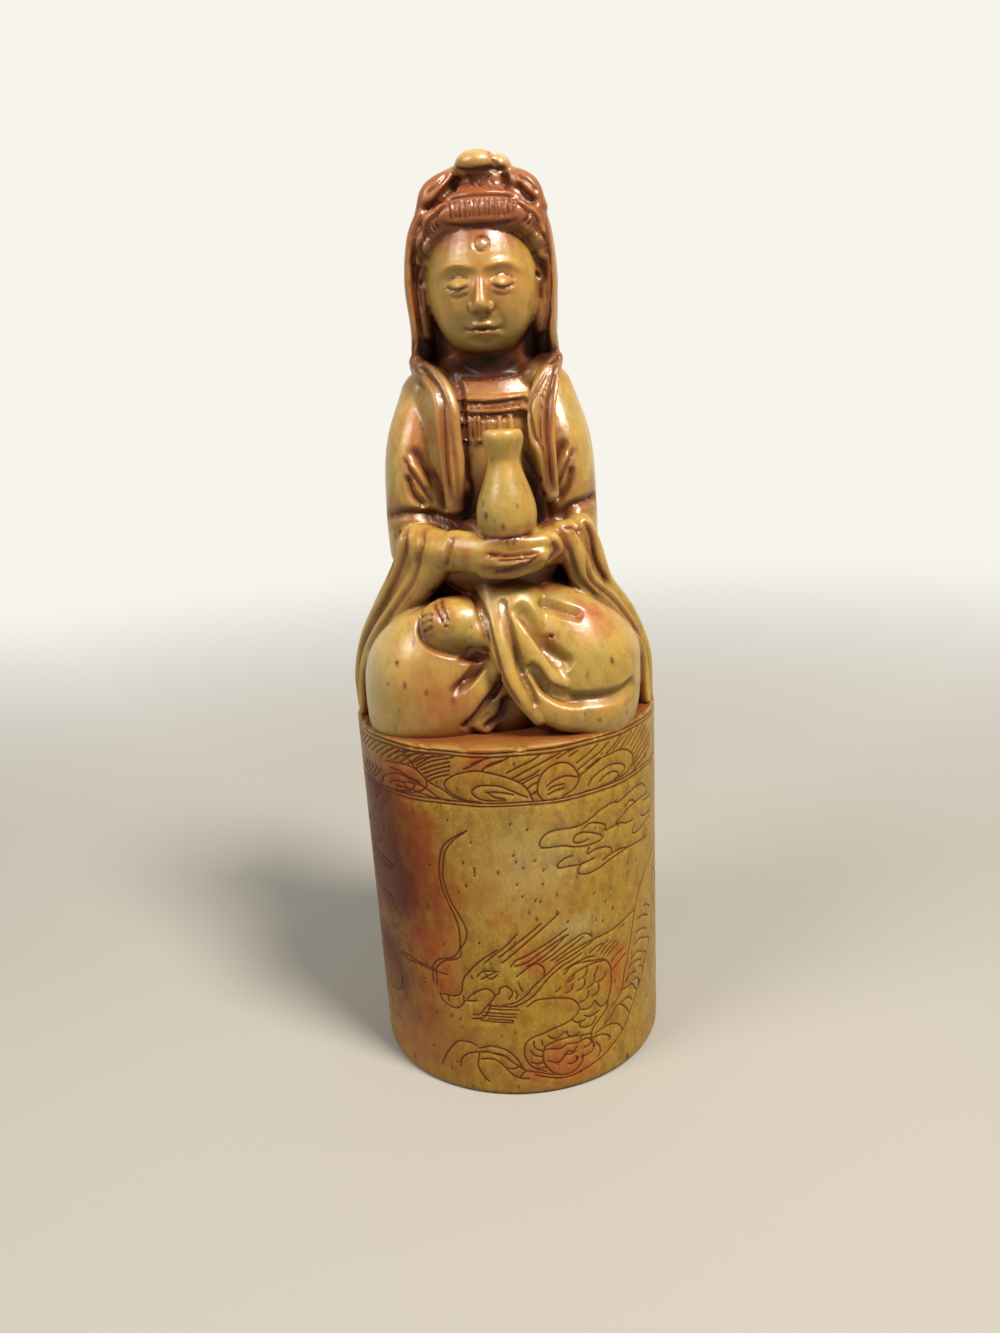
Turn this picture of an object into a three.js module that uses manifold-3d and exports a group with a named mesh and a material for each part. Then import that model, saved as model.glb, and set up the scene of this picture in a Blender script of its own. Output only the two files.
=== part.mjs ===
// A soapstone seal: a round seal block with a seated, hooded figure carved as its finial.
// The block and the figure are one stone, so everything ends up in one solid.
// Millimetres, +Z up. The origin is the centre of the seal face, which is the flat underside.
// The figure faces -Y, and its right hand is on the -X side.

import * as THREE from "three";
import { mergeVertices } from "three/addons/utils/BufferGeometryUtils.js";
import Module from "manifold-3d";

const wasm = await Module();
wasm.setup();

// Driving dimensions.
const blockHeight = 55.5;
const faceRadius = 22.6; // at the seal face
const shoulderRadius = 23.2; // at the top of the block, which is a little wider
const edgeRound = 0.7;
const blockSides = 44;
const borderDepth = 0.4; // the two cut lines that frame the band of waves
const borderWidth = 0.9;
const borderUpper = 1.2; // below the block's top
const borderLower = 8.3;
const figureHeight = 78.5; // from the block's top to the topknot's button

// The figure is laid out on a bar of this radius and height. Every width follows the block's
// top radius, and every height follows the figure's height.
const layoutRadius = 23.2;
const layoutHeight = 78.5;

const vaseFoot = [2.4, -14.4, 27.2]; // where the vase stands
const vaseHeight = 14.8;
const vaseFootRadius = 3.5;
const vaseBelly = 4.15;
const vaseNeck = 2.2;
const vaseLip = 2.75;

const toeRadius = 1.15;
const toeCount = 5;
const fingerRadius = 1.0;
const tasselRadius = 0.55;
const tasselCount = 5;
const cordRadius = 0.6;
const hoodWall = 2.1;
const foldDepth = 1.0; // the cut folds of the robe
const headMiddle = [0.3, -3.0, 61.6];
const headHalf = [7.6, 7.6, 10.2];

// Turns a closed three.js geometry into a solid.
function solid(geometry) {
  const bare = new THREE.BufferGeometry();
  bare.setAttribute("position", geometry.getAttribute("position").clone());
  bare.setIndex(geometry.index);
  const merged = mergeVertices(bare, 1e-4);
  const index = merged.index.array;
  const corners = [];
  for (let i = 0; i < index.length; i += 3) {
    const [a, b, c] = [index[i], index[i + 1], index[i + 2]];
    if (a !== b && b !== c && c !== a) corners.push(a, b, c);
  }
  return new wasm.Manifold(
    new wasm.Mesh({
      numProp: 3,
      vertProperties: new Float32Array(merged.attributes.position.array),
      triVerts: new Uint32Array(corners),
    }),
  );
}

// Moves each corner of a geometry to where a function puts it.
function shaped(geometry, move) {
  const place = geometry.getAttribute("position");
  const corner = new THREE.Vector3();
  for (let i = 0; i < place.count; i += 1) {
    corner.fromBufferAttribute(place, i);
    const moved = move(corner);
    place.setXYZ(i, moved.x, moved.y, moved.z);
  }
  return geometry;
}

// Puts a form of the figure on the block: x to the figure's left, y to its back, z above the block.
function carved(geometry) {
  const across = shoulderRadius / layoutRadius;
  const up = figureHeight / layoutHeight;
  const put = (corner) => corner.set(corner.x * across, corner.y * across, blockHeight + corner.z * up);
  return solid(shaped(geometry, put));
}

// A ball with three half sizes, turned about X, then Y, then Z, in degrees.
function ball(centre, halfSizes, sides = 14, turn = [0, 0, 0]) {
  const rings = Math.max(5, Math.round(sides * 0.5));
  const form = new THREE.SphereGeometry(1, sides, rings);
  form.rotateX(Math.PI / 2);
  form.scale(...halfSizes);
  const [x, y, z] = turn.map(THREE.MathUtils.degToRad);
  form.rotateX(x);
  form.rotateY(y);
  form.rotateZ(z);
  form.translate(...centre);
  return carved(form);
}

// A round-ended roll along a smooth curve. Each point is [x, y, z, half width, half height];
// the height is measured towards the front, or along the direction given.
// A side of -1 mirrors the roll to the figure's right.
function roll(points, sides = 8, steps = 6, side = 1, outward = [0, -1, 0]) {
  const facing = new THREE.Vector3(side * outward[0], outward[1], outward[2]);
  const path = new THREE.CatmullRomCurve3(points.map(([x, y, z]) => new THREE.Vector3(side * x, y, z)));
  const sizeAt = (t, which) => {
    const along = t * (points.length - 1);
    const low = Math.min(points.length - 2, Math.floor(along));
    return THREE.MathUtils.lerp(points[low][which], points[low + 1][which], along - low);
  };
  const capRings = sides > 7 ? 2 : 1;
  const rings = steps + 2 * capRings;
  const form = new THREE.SphereGeometry(1, sides, rings);
  return carved(
    shaped(form, (corner) => {
      const ring = Math.round((Math.acos(THREE.MathUtils.clamp(corner.y, -1, 1)) / Math.PI) * rings);
      const t = THREE.MathUtils.clamp((ring - capRings) / steps, 0, 1);
      const beyond = Math.max(capRings - ring, ring - capRings - steps, 0);
      const cap = (beyond / capRings) * (Math.PI / 2);
      const along = path.getTangent(t);
      const across = new THREE.Vector3().crossVectors(along, facing).normalize();
      const out = new THREE.Vector3().crossVectors(across, along).normalize();
      const round = Math.atan2(corner.z, corner.x);
      const [width, height] = [sizeAt(t, 3), sizeAt(t, 4)];
      const past = Math.sin(cap) * Math.min(width, height) * (ring < capRings ? -1 : 1);
      return path
        .getPoint(t)
        .addScaledVector(along, past)
        .addScaledVector(across, Math.cos(round) * width * Math.cos(cap))
        .addScaledVector(out, -Math.sin(round) * height * Math.cos(cap));
    }),
  );
}

// A body built up from level sections. Each is [z, half width, front y, back y, middle x].
function stacked(sections, sides, squareness, ringsEach = 1) {
  const steps = (sections.length - 1) * ringsEach;
  const columns = [0, 1, 2, 3, 4].map(
    (which) => new THREE.CatmullRomCurve3(sections.map((s, i) => new THREE.Vector3(i, s[which] ?? 0, 0))),
  );
  const squared = (value) => Math.sign(value) * Math.abs(value) ** squareness;
  const form = new THREE.CylinderGeometry(1, 1, 1, sides, steps);
  return carved(
    shaped(form, (corner) => {
      const t = corner.y + 0.5;
      const [z, half, front, back, middle] = columns.map((curve) => curve.getPoint(t).y);
      const reach = Math.hypot(corner.x, corner.z);
      const angle = Math.atan2(-corner.z, corner.x);
      const x = middle + half * reach * squared(Math.cos(angle));
      const y = (front + back) / 2 + ((back - front) / 2) * reach * squared(Math.sin(angle));
      return new THREE.Vector3(x, y, z);
    }),
  );
}

// A form turned on a lathe from a profile of [radius, height] pairs.
function turned(profile, sides) {
  const form = new THREE.LatheGeometry(
    profile.map(([radius, height]) => new THREE.Vector2(radius, height)),
    sides,
  );
  return form.rotateX(Math.PI / 2);
}

// The points of a roll that is equally thick all along.
const even = (places, radius) => places.map((place) => [...place, radius, radius]);
const joined = (parts) => parts.reduce((whole, part) => whole.add(part));
const onBothSides = (make) => [-1, 1].map(make);

// The seal block, turned round, with a rounded edge at each end and the two border lines.
function sealBlock() {
  const radiusAt = (z) => THREE.MathUtils.lerp(faceRadius, shoulderRadius, z / blockHeight);
  const groove = (below) => {
    const z = blockHeight - below;
    return [
      [radiusAt(z), z - borderWidth / 2],
      [radiusAt(z) - borderDepth, z],
      [radiusAt(z), z + borderWidth / 2],
    ];
  };
  const profile = [
    [0, 0],
    [faceRadius - edgeRound, 0],
    [faceRadius, edgeRound],
    ...groove(borderLower),
    ...groove(borderUpper),
    [shoulderRadius, blockHeight - edgeRound / 2],
    [shoulderRadius - edgeRound / 2, blockHeight],
    [0, blockHeight],
  ];
  return solid(turned(profile, blockSides));
}

// The robe round the body: the seat, the waist, the back and the shoulders.
const robeSections = [
  [-0.6, 21.8, -8.5, 20.6, 0],
  [3, 22.7, -8.5, 20.8, -0.1],
  [7, 22.5, -9, 20.2, -0.1],
  [11, 21.2, -9, 18.8, -0.1],
  [15, 18.6, -9, 16.4, -0.2],
  [19, 16.0, -9.4, 14.4, -0.2],
  [26, 14.2, -9.6, 13.0, -0.3],
  [36, 13.4, -9.4, 12.4, -0.5],
  [45, 12.2, -8.6, 11.6, -0.7],
  [48.5, 10.2, -7.2, 10.8, -0.4],
  [52, 7.0, -4.0, 9.6, 0],
];
const robeSquareness = 0.86;

const robe = () => stacked(robeSections, 22, robeSquareness);

// The place on the robe's back at a given x and height.
function onBack(x, z) {
  const above = robeSections.findIndex(([height]) => height > z);
  const [low, high] = [robeSections[above - 1], robeSections[above]];
  const share = (z - low[0]) / (high[0] - low[0]);
  const [, half, front, back, middle] = low.map((value, n) => THREE.MathUtils.lerp(value, high[n], share));
  const across = Math.abs((x - middle) / half) ** (1 / robeSquareness);
  const behind = Math.sqrt(1 - across ** 2) ** robeSquareness;
  return [x, (front + back) / 2 + ((back - front) / 2) * behind, z];
}

// One upper arm, and the forearm that turns in to the hands.
function arm(side) {
  const lean = side < 0 ? 0.1 : -0.5;
  const upperArm = [
    [8.0 + lean, 1.0, 46.0, 5.0, 5.8],
    [9.5 + lean, -0.6, 39, 5.6, 7.6],
    [10.2 + lean, -1.2, 31, 5.3, 8.0],
    [10.9 + lean, -0.6, 25.4, 4.6, 7.4],
  ];
  const forearm = [
    [11.6, -4.4, 26.4, 3.6, 3.4],
    [9.4, -9.6, 26.0, 3.3, 3.2],
    [5.4, -13.4, 25.6, 2.9, 2.7],
  ];
  return joined([roll(upperArm, 10, 4, side, [0.25, -1, 0]), roll(forearm, 8, 3, side, [0, 0, 1])]);
}

// The sleeves fall from the wrists, out over the knees and down to the block, in two rolls each.
// The figure's left sleeve hangs more steeply than its right one.
function sleeves() {
  const rightFront = [
    [7.4, -12.2, 26.4, 2.7, 2.0],
    [8.9, -11.8, 22.8, 2.4, 2.0],
    [13.4, -9.4, 17.8, 1.6, 1.8],
    [17.6, -6.4, 13.0, 1.2, 1.8],
    [20.3, -4.4, 7.4, 1.0, 1.8],
    [20.9, -4.0, 0.6, 1.0, 2.0],
  ];
  const rightBack = [
    [11.2, -9.4, 27.2, 1.9, 2.4],
    [12.8, -8.4, 22.6, 1.9, 2.4],
    [16.4, -5.8, 17.0, 1.5, 2.4],
    [19.6, -3.0, 11.6, 1.4, 2.4],
    [21.2, -1.4, 5.8, 1.2, 2.4],
    [21.2, -1.2, 0.8, 1.2, 2.4],
  ];
  const leftFront = [
    [9.8, -12.2, 27.2, 1.9, 2.0],
    [11.4, -11.6, 24.2, 1.7, 2.0],
    [12.9, -10.2, 20.0, 1.4, 1.8],
    [16.8, -7.4, 15.6, 1.1, 1.7],
    [20.2, -4.6, 9.4, 1.0, 1.8],
    [20.9, -4.0, 0.6, 1.0, 2.0],
  ];
  const leftBack = [
    [12.4, -8.8, 27.6, 1.6, 2.2],
    [13.6, -7.8, 24.2, 1.6, 2.2],
    [15.2, -6.2, 19.2, 1.4, 2.2],
    [18.6, -3.6, 14.0, 1.3, 2.3],
    [20.9, -1.6, 7.6, 1.2, 2.4],
    [21.2, -1.2, 0.8, 1.2, 2.4],
  ];
  const outward = [1, -1.3, 0.4];
  return joined([
    ...[rightFront, rightBack].map((points) => roll(points, 7, 6, -1, outward)),
    ...[leftFront, leftBack].map((points) => roll(points, 7, 6, 1, outward)),
  ]);
}

// The crossed legs under the robe, and the foot that lies on the other thigh, sole up.
function legs() {
  const toes = [];
  for (let n = 0; n < toeCount; n += 1) {
    const up = n / (toeCount - 1);
    const place = [-9.0 + 0.6 * up, -15.4 + 1.2 * up, 13.9 + 4.4 * up];
    toes.push(ball(place, [1.3 * toeRadius, toeRadius, 0.85 * toeRadius], 5));
  }
  return joined([
    ball([-10.6, -7.6, 7.2], [9.6, 12.4, 8.8], 16),
    ball([-7.0, -11.0, 5.0], [8.4, 8.2, 6.2], 12),
    ball([9.9, -7.6, 9.6], [10.8, 12.4, 10.4], 16, [0, -12, 0]),
    ball([7.6, -11.4, 4.8], [8.8, 8.2, 5.8], 12),
    ball([-1.2, -8.0, 13.6], [10.4, 7.4, 6.4], 12),
    ball([-4.8, -13.4, 15.6], [5.7, 4.0, 3.8], 12, [0, 10, 10]),
    ball([0.4, -8.6, 25], [8.2, 4.4, 6.4], 10),
    ...toes,
  ]);
}

// The cloth over the lap: the band that falls between the knees, the folds that sweep from it
// over the left thigh, and the hem that turns under the left knee.
function drapery() {
  const band = [
    [-0.6, -12.2, 20.0, 2.1, 1.6],
    [0.6, -16.0, 14.8, 2.0, 1.7],
    [2.6, -17.6, 9.0, 1.9, 1.6],
    [5.4, -18.0, 3.2, 1.7, 1.4],
  ];
  const sweep = [
    [2.6, -13.6, 19.4, 1.2, 1.2],
    [4.6, -16.6, 15.0, 1.6, 1.5],
    [6.8, -17.8, 11.2, 1.6, 1.4],
    [10.0, -18.2, 8.2, 1.0, 1.0],
  ];
  const hem = [
    [4.2, -17.8, 9.8, 1.0, 0.9],
    [6.0, -18.4, 6.2, 2.0, 1.2],
    [9.6, -18.2, 3.6, 2.6, 1.2],
    [14.2, -15.8, 2.8, 2.6, 1.3],
    [18.4, -11.2, 3.6, 2.0, 1.3],
  ];
  const cuff = [
    [-2.4, -15.6, 10.6, 1.3, 1.4],
    [-4.0, -17.0, 7.8, 1.2, 1.2],
    [-6.2, -17.4, 5.8, 0.7, 0.8],
  ];
  const lowerCuff = [
    [-0.8, -16.2, 7.6, 1.4, 1.4],
    [-3.0, -17.2, 4.0, 1.3, 1.2],
    [-5.0, -17.2, 1.6, 1.0, 1.0],
  ];
  return joined([
    roll(band, 7, 5),
    roll(sweep, 7, 5),
    roll(hem, 7, 6),
    roll(cuff, 6, 2),
    roll(lowerCuff, 6, 2),
  ]);
}

// Two hands cupped one in the other, with the fingers side by side in front.
function hands() {
  const palms = [
    [-5.0, -13.6, 26.0, 2.8, 2.6],
    [-0.6, -15.2, 25.5, 3.0, 2.6],
    [4.4, -15.4, 25.4, 3.0, 2.4],
    [8.2, -13.6, 26.2, 2.2, 2.0],
  ];
  const fingers = [
    [[1.2, -16.6, 27.0], [4.4, -17.0, 26.9], [7.4, -15.8, 26.9]],
    [[0.4, -17.4, 24.9], [3.6, -17.9, 24.9], [6.8, -16.7, 25.3]],
    [[0.8, -16.6, 23.0], [3.8, -17.0, 23.3], [6.6, -16.0, 24.2]],
  ];
  return joined([roll(palms, 8, 4), ...fingers.map((places) => roll(even(places, fingerRadius), 6, 2))]);
}

// The vase, turned, standing in the hands against the chest.
function vase() {
  const profile = [
    [0, 0],
    [vaseFootRadius, 0],
    [vaseBelly * 0.94, vaseHeight * 0.1],
    [vaseBelly, vaseHeight * 0.23],
    [vaseBelly * 0.93, vaseHeight * 0.37],
    [vaseBelly * 0.68, vaseHeight * 0.57],
    [vaseNeck, vaseHeight * 0.71],
    [vaseNeck * 1.08, vaseHeight * 0.79],
    [vaseLip, vaseHeight * 0.89],
    [vaseLip, vaseHeight * 0.95],
    [vaseLip * 0.8, vaseHeight],
    [0, vaseHeight],
  ];
  return carved(turned(profile, 12).translate(...vaseFoot));
}

// The hood's border runs on as a lapel down each side of the chest.
function lapels() {
  const right = [
    [9.8, -3.2, 51.8, 0.8, 1.2],
    [6.6, -7.4, 48.8, 1.0, 1.2],
    [5.3, -9.4, 45.4, 1.1, 1.3],
    [4.9, -10.3, 41.2, 1.4, 1.3],
    [4.8, -10.6, 36.6, 1.5, 1.2],
    [4.9, -10.6, 31.4, 1.3, 1.0],
  ];
  const left = [
    [10.2, -3.2, 51.2, 0.8, 1.2],
    [8.6, -7.0, 48.6, 1.2, 1.3],
    [7.8, -9.2, 45.2, 1.5, 1.4],
    [7.4, -10.2, 41.2, 1.4, 1.4],
    [7.9, -10.7, 37.4, 1.2, 1.3],
    [8.3, -10.7, 32.6, 1.0, 1.1],
  ];
  const shoulder = [[8.8, -1.2, 50.4, 1.8, 2.8], [6.4, -4.6, 48.4, 2.2, 2.8]];
  return joined([
    roll(right, 7, 6, -1),
    roll(left, 7, 6, 1),
    ...onBothSides((side) => roll(shoulder, 7, 1, side)),
  ]);
}

// The neck, the stone behind the vase, the cords of the chest ornament, and its tassels.
function chest() {
  const neck = [[0.8, -1.0, 43.5, 5.4, 6.4], [0.4, -1.0, 56, 4.6, 5.0]];
  const web = [[2.2, -9.6, 30, 2.4, 2.4], [2.8, -9.4, 39, 1.8, 2.4]];
  const cord = (y, z) => even([[-3.6, y + 0.8, z + 0.3], [1.2, y, z], [6.0, y + 0.8, z + 0.2]], cordRadius);
  const tassels = [];
  for (let n = 0; n < tasselCount; n += 1) {
    const x = -2.6 + 1.5 * n;
    tassels.push(roll(even([[x, -9.1, 43.2], [x, -9.2, 40.6]], tasselRadius), 5, 1));
  }
  return joined([
    roll(neck, 12, 1),
    roll(web, 8, 1),
    roll(cord(-8.8, 45.9), 5, 2),
    roll(cord(-9.0, 44.4), 5, 2),
    ...tassels,
  ]);
}

// The head, calm and on general proportions, with closed lids under the brows.
function head() {
  const [middleX, middleY, middleZ] = headMiddle;
  const [halfWidth, halfDepth, halfLength] = headHalf;
  const at = (x, y, z) => [middleX + x * halfWidth, middleY - y * halfDepth, middleZ + z * halfLength];
  const pair = (make) => onBothSides((side) => make((x, y, z) => at(side * x, y, z)));
  const line = (places, radius) => roll(even(places, radius), 6, 2);
  const nose = [
    [...at(0, 0.86, 0.16), 0.7, 0.8],
    [...at(0, 0.98, -0.12), 0.9, 0.9],
    [...at(0, 1.04, -0.28), 1.3, 0.9],
  ];
  return joined([
    ball(headMiddle, headHalf, 16),
    ball(at(0, 0.16, -0.36), [halfWidth * 0.82, halfDepth * 0.8, halfLength * 0.62], 10),
    roll(nose, 6, 2),
    line([at(-0.2, 0.86, -0.5), at(0.2, 0.86, -0.5)], 0.6),
    line([at(-0.15, 0.86, -0.6), at(0.15, 0.86, -0.6)], 0.65),
    ...pair((p) => line([p(0.16, 0.88, 0.19), p(0.4, 0.84, 0.25), p(0.64, 0.68, 0.17)], 0.5)),
    ...pair((p) => ball(p(0.38, 0.8, 0.02), [1.7, 0.9, 0.8], 7)),
  ]);
}

// Long ears, each a rim drawn downwards to the lobe.
function ear(side) {
  const rim = [
    [8.2, -2.6, 64.0, 0.9, 1.3],
    [8.7, -2.6, 61.0, 0.9, 1.4],
    [8.3, -3.0, 57.6, 0.7, 1.2],
    [8.0, -3.2, 55.6, 0.9, 1.2],
  ];
  return roll(rim, 7, 4, side);
}

// The hair: a band over the forehead, two locks over each temple, the topknot and its button.
function hair() {
  const band = [[-3.6, -8.6, 69.9, 1.5, 1.4], [1.0, -9.8, 69.9, 1.7, 1.4], [5.4, -8.4, 69.6, 1.5, 1.4]];
  const upperLock = [[5.4, -8.0, 69.4, 1.5, 1.3], [7.0, -6.8, 68.0, 1.2, 1.3]];
  const lowerLock = [[7.6, -5.4, 67.6, 1.4, 1.2], [8.2, -4.4, 64.8, 1.1, 1.2]];
  const topknot = [[1.4, -3.2, 71.8, 3.7, 3.8], [1.2, -3.2, 74.6, 3.1, 3.0]];
  return joined([
    roll(band, 7, 3),
    ...onBothSides((side) => roll(upperLock, 7, 1, side)),
    ...onBothSides((side) => roll(lowerLock, 7, 1, side)),
    ball([0.6, -1.4, 69.2], [7.4, 6.8, 5.6], 10),
    roll(topknot, 9, 1, 1, [0, -1, 0.01]),
    ball([0.6, -3.8, 76.8], [3.4, 3.4, 1.7], 12),
    ball([3.2, -3.4, 76.1], [1.7, 2.4, 1.6], 8),
  ]);
}

// The hood: a shell that is open in front, and hangs from the topknot to the shoulders.
// Its front edge is a thick rim, which turns back at the top in a leaf-shaped fold each side.
function hood() {
  const sections = (thin) => [
    [49, 11.2 - thin, -2.6, 11.4 - thin, 0],
    [53, 10.4 - thin, -3.2, 10.2 - thin, 0],
    [58, 10.7 - thin, -3.6, 9.6 - thin, 0],
    [63, 10.7 - thin, -3.8, 9.6 - thin, 0],
    [68, 10.0 - thin, -4.2, 9.2 - thin, 0.2],
    [72, 8.2 - thin, -4.2, 8.0 - thin, 0.6],
    [75, 6.0 - thin, -3.0, 6.2 - thin, 0.8],
    [77.4 - thin, 3.8 - thin * 0.6, -1.4, 3.6 - thin * 0.6, 0.4],
  ];
  const hollow = sections(hoodWall).map(([z, half, front, back, x]) => [z, half, front - 22, back - 5, x]);
  const shell = stacked(sections(0), 20, 0.9).subtract(stacked(hollow, 10, 0.5));
  const rim = (lean) => [
    [9.8, -1.0, 51.6, 0.9, 3.2],
    [9.5, -1.4, 56, 0.9, 3.4],
    [9.9, -1.6, 62, 0.9, 3.6],
    [9.3 - lean * 0.3, -2.0, 67.6, 1.0, 3.8],
    [8.1 - lean, -2.6, 71.0, 1.2, 3.6],
  ];
  const rightFold = [[7.3, -3.8, 70.8, 1.2, 2.0], [5.6, -3.7, 73.2, 2.0, 2.4], [3.0, -2.2, 75.5, 1.3, 2.2]];
  const leftFold = [[8.6, -3.8, 70.8, 1.2, 2.0], [6.8, -3.6, 73.3, 2.0, 2.4], [4.2, -2.0, 75.4, 1.3, 2.2]];
  return joined([
    shell,
    roll(rim(0.9), 7, 5, -1),
    roll(rim(0), 7, 5),
    roll(rightFold, 7, 3, -1),
    roll(leftFold, 7, 3),
    ball([-1.6, -1.0, 75.6], [2.4, 2.6, 1.9], 8),
    ball([0.7, 0.4, 72.6], [6.2, 6.2, 4.4], 10),
  ]);
}

// Cuts made after the forms: the folds at the elbows, over the left thigh and down the back.
function folds() {
  const cut = (places, side = 1) => {
    const deep = (n) => (n === 0 || n === places.length - 1 ? foldDepth * 0.4 : foldDepth);
    return roll(places.map((place, n) => [...place, deep(n), deep(n)]), 5, places.length, side);
  };
  const elbow = (side) => [
    cut([[12.6, -7.2, 39.8], [11.4, -8.4, 37.6], [10.0, -9.0, 35.4], [7.6, -9.2, 31.2]], side),
    cut([[13.6, -6.6, 36.0], [12.8, -7.8, 34.4], [11.8, -8.6, 33.0], [9.8, -9.2, 31.0]], side),
  ];
  const back = [-7, 0, 7].map((x) => cut([44, 32, 22, 13, 5].map((z) => onBack(x * (1.6 - z / 60), z))));
  return joined([
    ...onBothSides(elbow).flat(),
    cut([[6.0, -15.2, 18.0], [9.2, -16.2, 17.0], [12.6, -15.8, 15.9]]),
    ...back,
  ]);
}

function seal() {
  const figure = joined([
    robe(),
    ...onBothSides(arm),
    sleeves(),
    legs(),
    drapery(),
    hands(),
    vase(),
    lapels(),
    chest(),
    hood(),
    head(),
    ...onBothSides(ear),
    hair(),
  ]);
  return sealBlock().add(figure).subtract(folds());
}

const soapstone = new THREE.MeshStandardMaterial({
  name: "soapstone",
  color: 0xb08a45,
  roughness: 0.35,
  metalness: 0,
});

function meshOf(name, body) {
  const { vertProperties, triVerts } = body.getMesh();
  const geometry = new THREE.BufferGeometry();
  geometry.setAttribute("position", new THREE.BufferAttribute(new Float32Array(vertProperties), 3));
  geometry.setIndex(new THREE.BufferAttribute(new Uint32Array(triVerts), 1));
  geometry.computeVertexNormals();
  const mesh = new THREE.Mesh(geometry, soapstone);
  mesh.name = name;
  return mesh;
}

const part = new THREE.Group();
part.add(meshOf("seal", seal()));

export default part;
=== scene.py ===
import math

import bpy
import numpy as np
from mathutils import Euler, Matrix, Vector
from mathutils.bvhtree import BVHTree
from mathutils.kdtree import KDTree


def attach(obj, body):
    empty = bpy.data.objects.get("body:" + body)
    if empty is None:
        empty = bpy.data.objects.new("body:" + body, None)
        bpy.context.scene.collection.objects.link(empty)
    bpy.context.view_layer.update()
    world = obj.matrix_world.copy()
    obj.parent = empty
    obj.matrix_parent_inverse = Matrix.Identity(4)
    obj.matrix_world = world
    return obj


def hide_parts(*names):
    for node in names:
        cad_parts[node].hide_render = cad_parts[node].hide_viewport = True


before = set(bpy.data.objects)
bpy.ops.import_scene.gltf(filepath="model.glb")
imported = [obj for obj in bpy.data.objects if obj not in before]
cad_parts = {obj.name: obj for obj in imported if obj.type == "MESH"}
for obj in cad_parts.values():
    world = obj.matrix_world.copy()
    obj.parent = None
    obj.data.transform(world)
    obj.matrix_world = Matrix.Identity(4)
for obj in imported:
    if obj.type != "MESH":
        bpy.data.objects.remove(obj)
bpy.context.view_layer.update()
bpy.ops.object.select_all(action="DESELECT")


# ---- The view ------------------------------------------------------------------------------
# The seal is seen from the front, a little above the figure's shoulders and close by, through
# a lens as wide as a pocket camera's. The frame is taken as 1000 by 1333.
lens_right = (0.9975, 0.04348, -0.05577)
lens_ahead = (-0.05641, 0.96489, -0.25652)
lens_up = (0.04266, 0.25902, 0.96493)
lens_place = (0.0085, -0.15507, 0.10212)
focal_length, frame_height = 1026.2, 1333  # in points of the frame

bpy.ops.object.camera_add()
camera = bpy.context.object
camera.matrix_world = Matrix(
    [(lens_right[n], lens_up[n], -lens_ahead[n], lens_place[n]) for n in range(3)] + [(0, 0, 0, 1)]
)
camera.data.sensor_width = 36
camera.data.lens = focal_length / frame_height * camera.data.sensor_width
camera.data.clip_start = 0.001
bpy.context.scene.camera = camera


# ---- The table and the light ---------------------------------------------------------------
# A plain pale table that runs on into an equally pale room. A broad soft lamp high on the right
# gives the polish its highlights, and a dimmer one on the left fills the shade.
def linear(colour, alpha=1.0):
    """A linear colour from an sRGB hex value."""
    parts = [int(colour[n : n + 2], 16) / 255 for n in (1, 3, 5)]
    return (*[c / 12.92 if c <= 0.04045 else ((c + 0.055) / 1.055) ** 2.4 for c in parts], alpha)


def add(tree, kind, settings=None, **values):
    """Adds a node. Values set its sockets, by name or number, and a socket given as one is linked."""
    node = tree.nodes.new(kind)
    for name, value in (settings or {}).items():
        setattr(node, name, value)
    for name, value in values.items():
        socket = node.inputs[int(name[1:])] if name[0] == "_" else node.inputs[name.replace("_", " ")]
        if isinstance(value, bpy.types.NodeSocket):
            tree.links.new(value, socket)
        else:
            socket.default_value = value
    return node


def new_material(name):
    material = bpy.data.materials.new(name)
    material.use_nodes = True
    material.node_tree.nodes.clear()
    return material, material.node_tree


bpy.ops.mesh.primitive_plane_add(size=40)
table = bpy.context.object
table.name = "table"
painted, tree = new_material("matt pale paint")
# Away from the seal the table's paint fades to black and it glows instead, with painted light in the room's
# colour that is brighter towards the back, so that no edge shows.
spot = add(tree, "ShaderNodeTexCoord").outputs["Object"]
away = add(tree, "ShaderNodeVectorMath", {"operation": "LENGTH"}, _0=spot)
way = add(tree, "ShaderNodeVectorMath", {"operation": "NORMALIZE"}, _0=spot)
towards_back = add(tree, "ShaderNodeSeparateXYZ", _0=way.outputs[0]).outputs["Y"]
painted_glow = add(tree, "ShaderNodeMapRange", _0=towards_back, _1=0.2, _2=0.8, _3=0.36, _4=1.0)
easing = {"interpolation_type": "SMOOTHSTEP"}
far = add(tree, "ShaderNodeMapRange", easing, _0=away.outputs["Value"], _1=0.02, _2=0.5).outputs[0]
paint = add(tree, "ShaderNodeMix", {"data_type": "RGBA"}, _0=far, _6=linear("#908e88"), _7=linear("#000000"))
light = add(tree, "ShaderNodeMath", {"operation": "MULTIPLY"}, _0=far, _1=painted_glow.outputs[0])
surface = add(
    tree,
    "ShaderNodeBsdfPrincipled",
    Base_Color=paint.outputs[2],
    Roughness=0.9,
    Specular_IOR_Level=0.0,
    Emission_Color=linear("#f7f4ec"),
    Emission_Strength=light.outputs[0],
)
add(tree, "ShaderNodeOutputMaterial", Surface=surface.outputs[0])
table.data.materials.append(painted)

room = bpy.data.worlds.new("pale room")
room.use_nodes = True
tree = room.node_tree
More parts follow.
